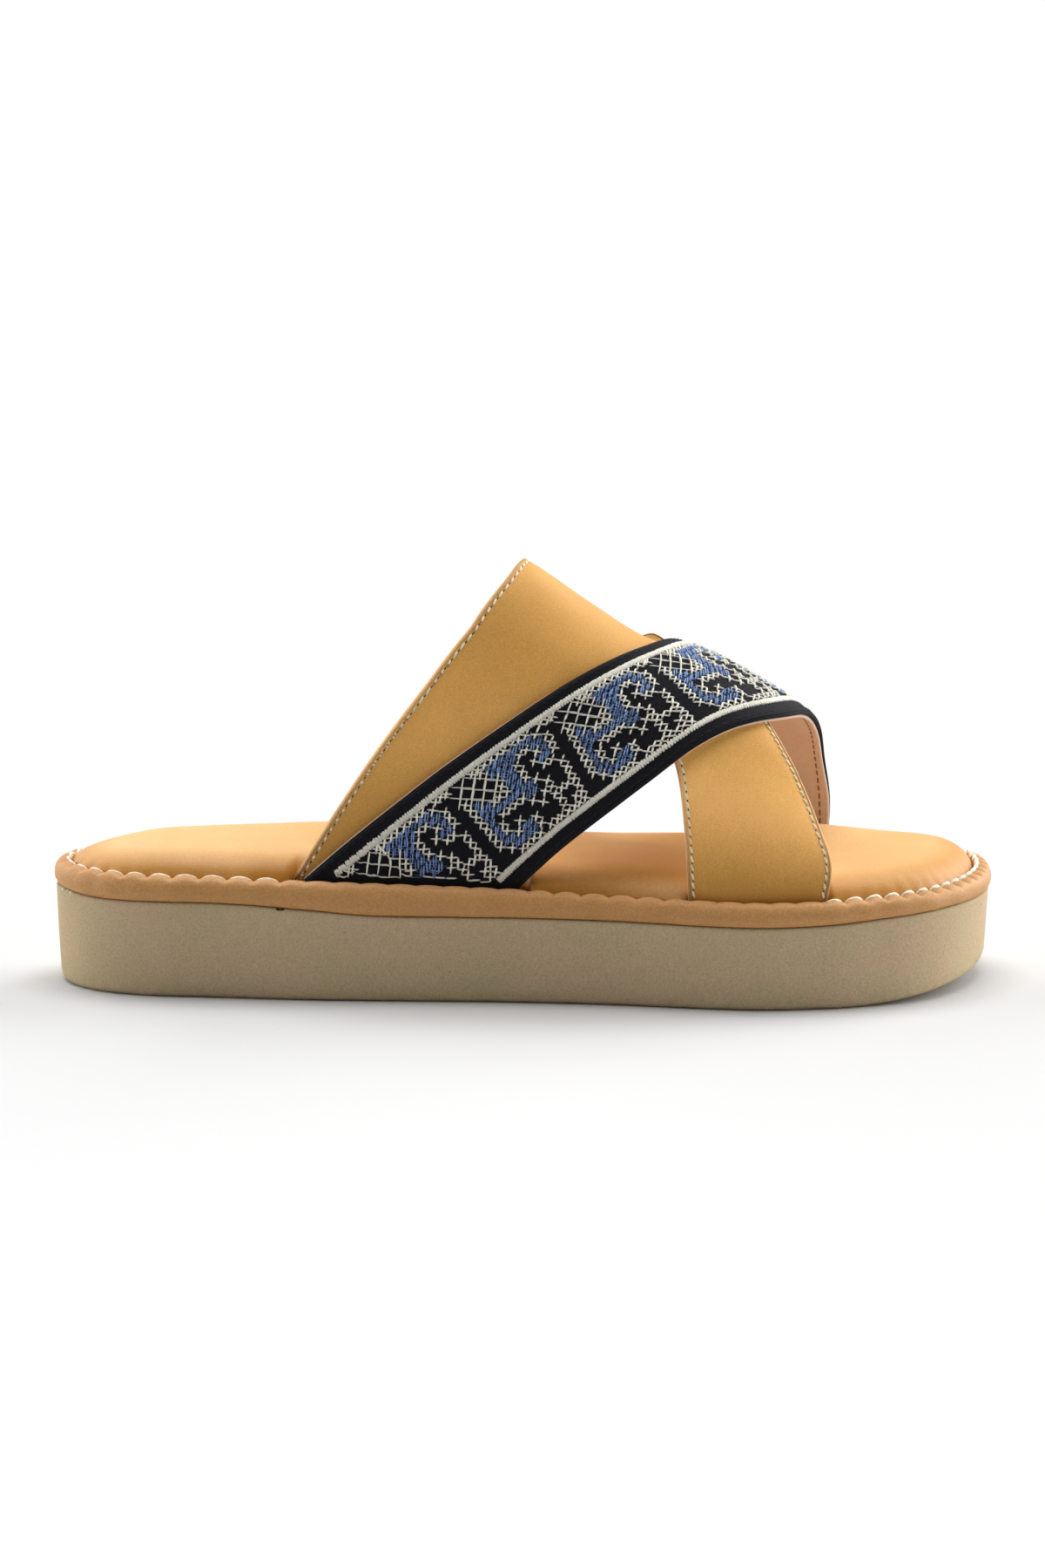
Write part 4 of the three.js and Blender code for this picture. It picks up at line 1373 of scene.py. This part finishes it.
class SANDAL_OT_embroidery(bpy.types.Operator):
    """Work the cross-stitch border from its chart: cream crosses, lattice, blue filling, satin lines"""

    bl_idname = "sandal.embroidery"
    bl_label = "Embroidery"

    def execute(self, context):
        sizes = context.scene.sandal_embroidery
        self.cloth = BandCloth()
        self.draw = np.random.default_rng(SEEDS["embroidery"])
        self.width = sizes.width
        rear = sizes.rear_border + sizes.line
        front = sizes.width - sizes.front_border - sizes.line
        rows, columns = len(REPEAT_CHART), len(REPEAT_CHART[0])
        high, long = (front - rear) / rows, sizes.repeat / columns
        first = math.floor((self.cloth.a[0] - sizes.first_bar) / sizes.repeat)
        last = math.ceil((self.cloth.a[-1] - sizes.first_bar) / sizes.repeat)
        cream, blue = [], []
        for k in range(first, last):
            start = sizes.first_bar + k * sizes.repeat
            for r, line in enumerate(REPEAT_CHART):
                v = rear + high * (0.4 if r == 0 else 12.45 - 1.035 * (12 - r))
                for c, cell in enumerate(line):
                    a = start + long * (8.1 + 1.023 * (c - 7.5))
                    if cell == "c":
                        cream += self.cross(a, v, 0.58 * long, 0.52 * high, (0.86, 1.0), 0.14)
                    elif cell == "L":
                        cream += self.cross(a, v, 1.12 * long, 1.02 * high, (0.62, 0.74), 0.05)
                    elif cell == "b":
                        for side in (-0.2, 0.2):
                            blue += self.cross(a + side * long, v, 0.5 * long, 0.52 * high, (0.9, 1.0), 0.12)
        blue_thread = finish_of("blue_thread", thread_finish, sizes.blue, sizes.light_blue)
        cream_thread = finish_of("cream_thread", thread_finish, sizes.cream, variety=0.07)
        # Blue: lower strands painted darker and upper strands painted lighter, painted shade and highlight by
        # layer.
        self.work("embroidery_blue", blue, sizes.blue_radius, blue_thread, (0.12, 0.78))
        self.work("embroidery_cream", cream, sizes.cream_radius, cream_thread, (0.5, 0.5))
        lines = self.satin(sizes.rear_border, sizes.line) + self.satin(front, sizes.line)
        self.work("embroidery_lines", lines, sizes.cream_radius, cream_thread, (0.5, 0.5))
        return {"FINISHED"}

    def cross(self, a, v, half_a, half_v, thickness, jitter):
        """Two strands over each other: start, end, how high and how thick each is."""
        strands = []
        for k, (da, dv) in enumerate(((half_a, half_v), (half_a, -half_v))):
            shift = self.draw.normal(0, jitter, 4) * np.array([half_a, half_v, half_a, half_v])
            ends = (a - da + shift[0], v - dv + shift[1], a + da + shift[2], v + dv + shift[3])
            strands.append((*ends, k, thickness[k] * self.draw.uniform(0.88, 1.1)))
        return strands

    def satin(self, start, line):
        """Close strands across a line along the whole strap."""
        pitch = 0.4 * MM
        places = np.arange(self.cloth.a[0], self.cloth.a[-1], pitch)
        strands = []
        for k, a in enumerate(places):
            shift = self.draw.normal(0, 0.06 * MM, 3)
            slant = 0.12 * MM * (1 if k % 2 else -1)
            ends = (a - slant + shift[0], start + shift[1], a + slant, start + line + shift[2])
            strands.append((*ends, 0, self.draw.uniform(0.85, 1.05)))
        return strands

    def work(self, name, strands, radius, thread, painted_layer_shade):
        """Lay the strands on the felt; the last argument gives the middle shade of the lower and the upper
        strands, painted shade on the lower ones and painted highlight on the upper ones.
        """
        strands = np.array(strands)
        steps, sides = 7, 7
        t = np.linspace(0, 1, steps)
        a = strands[:, 0:1] + (strands[:, 2] - strands[:, 0])[:, None] * t
        v = strands[:, 1:2] + (strands[:, 3] - strands[:, 1])[:, None] * t
        points, normals = self.cloth.at(a, v / self.width)
        over_rim = points[..., 2] - rim_top(np.clip(points[..., 0] + LENGTH / 2, 0, LENGTH))
        seen = over_rim.min(axis=1) > 0.9 * MM
        points, normals, over, thick = points[seen], normals[seen], strands[seen, 4], strands[seen, 5]
        arch = np.sin(math.pi * t) ** 0.6
        rise = radius * ((0.9 + 0.9 * over[:, None]) * arch - 0.3)
        radii = radius * thick
        mesh_points, faces, uv = tubes(points + normals * rise[..., None], radii, sides)
        # Painted shade and highlight by layer, around a random spread of thread tone.
        tone = np.where(over > 0.5, painted_layer_shade[1], painted_layer_shade[0]) + self.draw.normal(0, 0.25, len(over))
        shade = np.repeat(np.clip(tone, 0, 1), steps * sides)
        new_piece(name, mesh_points, faces, thread, "embroidered_felt", uv=uv, shade=shade)


# What the camera looks at: height over the floor, and distance from the middle of the length
TARGET_HEIGHT = 54.6 * MM
TARGET_SHIFT = -0.4 * MM
# Lights: where each comes from, how white it makes a white face turned to it, softness in degrees
LIGHTS = {
    "overhead": ((0.0, 0.2, 1.0), 0.93, 50),
    "right_back": ((0.8, 0.6, 0.42), 0.95, 50),
    "left_back": ((-0.7, 0.8, 0.45), 0.42, 50),
    "right_front": ((0.75, -0.65, 0.4), 0.12, 60),
    "right_side": ((1.0, 0.0, 0.25), 0.3, 40),
    "left_side": ((-1.0, 0.05, 0.22), 0.5, 40),
}
WORLD_LIGHT = 0.03


class SANDAL_OT_studio(bpy.types.Operator):
    """Set up the camera, the pale floor with its backdrop and soft lights"""

    bl_idname = "sandal.studio"
    bl_label = "Studio"

    def execute(self, context):
        studio = context.scene.sandal_studio
        target = np.array([TARGET_SHIFT, -MIDDLE, TARGET_HEIGHT])
        back = np.array([0, -math.cos(studio.elevation), math.sin(studio.elevation)])
        camera_data = bpy.data.cameras.new("camera")
        camera_data.lens = studio.lens
        camera_data.sensor_width = 36
        camera = bpy.data.objects.new("camera", camera_data)
        camera.location = target + back * studio.distance
        camera.rotation_euler = (math.pi / 2 - studio.elevation, 0, 0)
        context.scene.collection.objects.link(camera)
        context.scene.camera = camera
        context.scene.view_settings.view_transform = "Standard"
        self.backdrop(context, studio)
        for name, (direction, share, softness) in LIGHTS.items():
            self.light(name, direction, share, softness)
        world = bpy.data.worlds.new("studio_light")
        world.use_nodes = True
        sky = world.node_tree.nodes["Background"].inputs
        sky["Color"].default_value = (1, 1, 1, 1)
        sky["Strength"].default_value = WORLD_LIGHT
        context.scene.world = world
        return {"FINISHED"}

    def backdrop(self, context, studio):
        """Floor that sweeps up behind the sandal."""
        half, front, rear, radius, reach = 14.0, -9.0, 8.0, 12.0, 8.0
        slope = math.radians(22)
        turns = np.linspace(0, slope, 13)
        profile = [(front, 0.0)]
        profile += [(rear + radius * math.sin(t), radius * (1 - math.cos(t))) for t in turns]
        profile.append((profile[-1][0] + reach * math.cos(slope), profile[-1][1] + reach * math.sin(slope)))
        points = [(x, y, z) for y, z in profile for x in (-half, half)]
        faces = [(2 * k, 2 * k + 1, 2 * k + 3, 2 * k + 2) for k in range(len(profile) - 1)]
        mesh = bpy.data.meshes.new("backdrop")
        mesh.from_pydata(points, [], faces)
        mesh.polygons.foreach_set("use_smooth", [True] * len(faces))
        floor = bpy.data.objects.new("backdrop", mesh)
        context.scene.collection.objects.link(floor)
        paint = Finish("matte_paper")
        mesh.materials.append(paint.close(rgba(studio.floor), 0.9))

    def light(self, name, direction, share, softness):
        """Soft light from far away; share is how white it makes a white face turned to it."""
        data = bpy.data.lights.new(name, "SUN")
        data.energy = share * math.pi
        data.angle = math.radians(softness)
        lamp = bpy.data.objects.new(name, data)
        lamp.rotation_euler = Vector(direction).to_track_quat("Z", "Y").to_euler()
        bpy.context.scene.collection.objects.link(lamp)


class SANDAL_PT_panel(bpy.types.Panel):
    """Lists the steps that build the sandal"""

    bl_idname = "SANDAL_PT_panel"
    bl_label = "Sandal"
    bl_space_type = "VIEW_3D"
    bl_region_type = "UI"
    bl_category = "Sandal"

    def draw(self, context):
        for operator in OPERATORS:
            self.layout.operator(operator.bl_idname)
        for name in GROUPS:
            box = self.layout.box()
            group = getattr(context.scene, name)
            for key in group.__annotations__:
                box.prop(group, key)


GROUPS = {
    "sandal_sole": SoleProperties,
    "sandal_straps": StrapProperties,
    "sandal_embroidery": EmbroideryProperties,
    "sandal_studio": StudioProperties,
}
OPERATORS = (
    SANDAL_OT_studio,
    SANDAL_OT_platform,
    SANDAL_OT_rim,
    SANDAL_OT_footbed,
    SANDAL_OT_leather_straps,
    SANDAL_OT_embroidered_strap,
    SANDAL_OT_embroidery,
)


def register():
    for group in GROUPS.values():
        bpy.utils.register_class(group)
    for operator in OPERATORS:
        bpy.utils.register_class(operator)
    bpy.utils.register_class(SANDAL_PT_panel)
    for name, group in GROUPS.items():
        setattr(bpy.types.Scene, name, bpy.props.PointerProperty(type=group))


def unregister():
    for name in GROUPS:
        delattr(bpy.types.Scene, name)
    bpy.utils.unregister_class(SANDAL_PT_panel)
    for cls in (*OPERATORS[::-1], *GROUPS.values()):
        bpy.utils.unregister_class(cls)


def main():
    register()
    for operator in OPERATORS:
        family, name = operator.bl_idname.split(".")
        getattr(getattr(bpy.ops, family), name)()


if __name__ == "__main__":
    main()
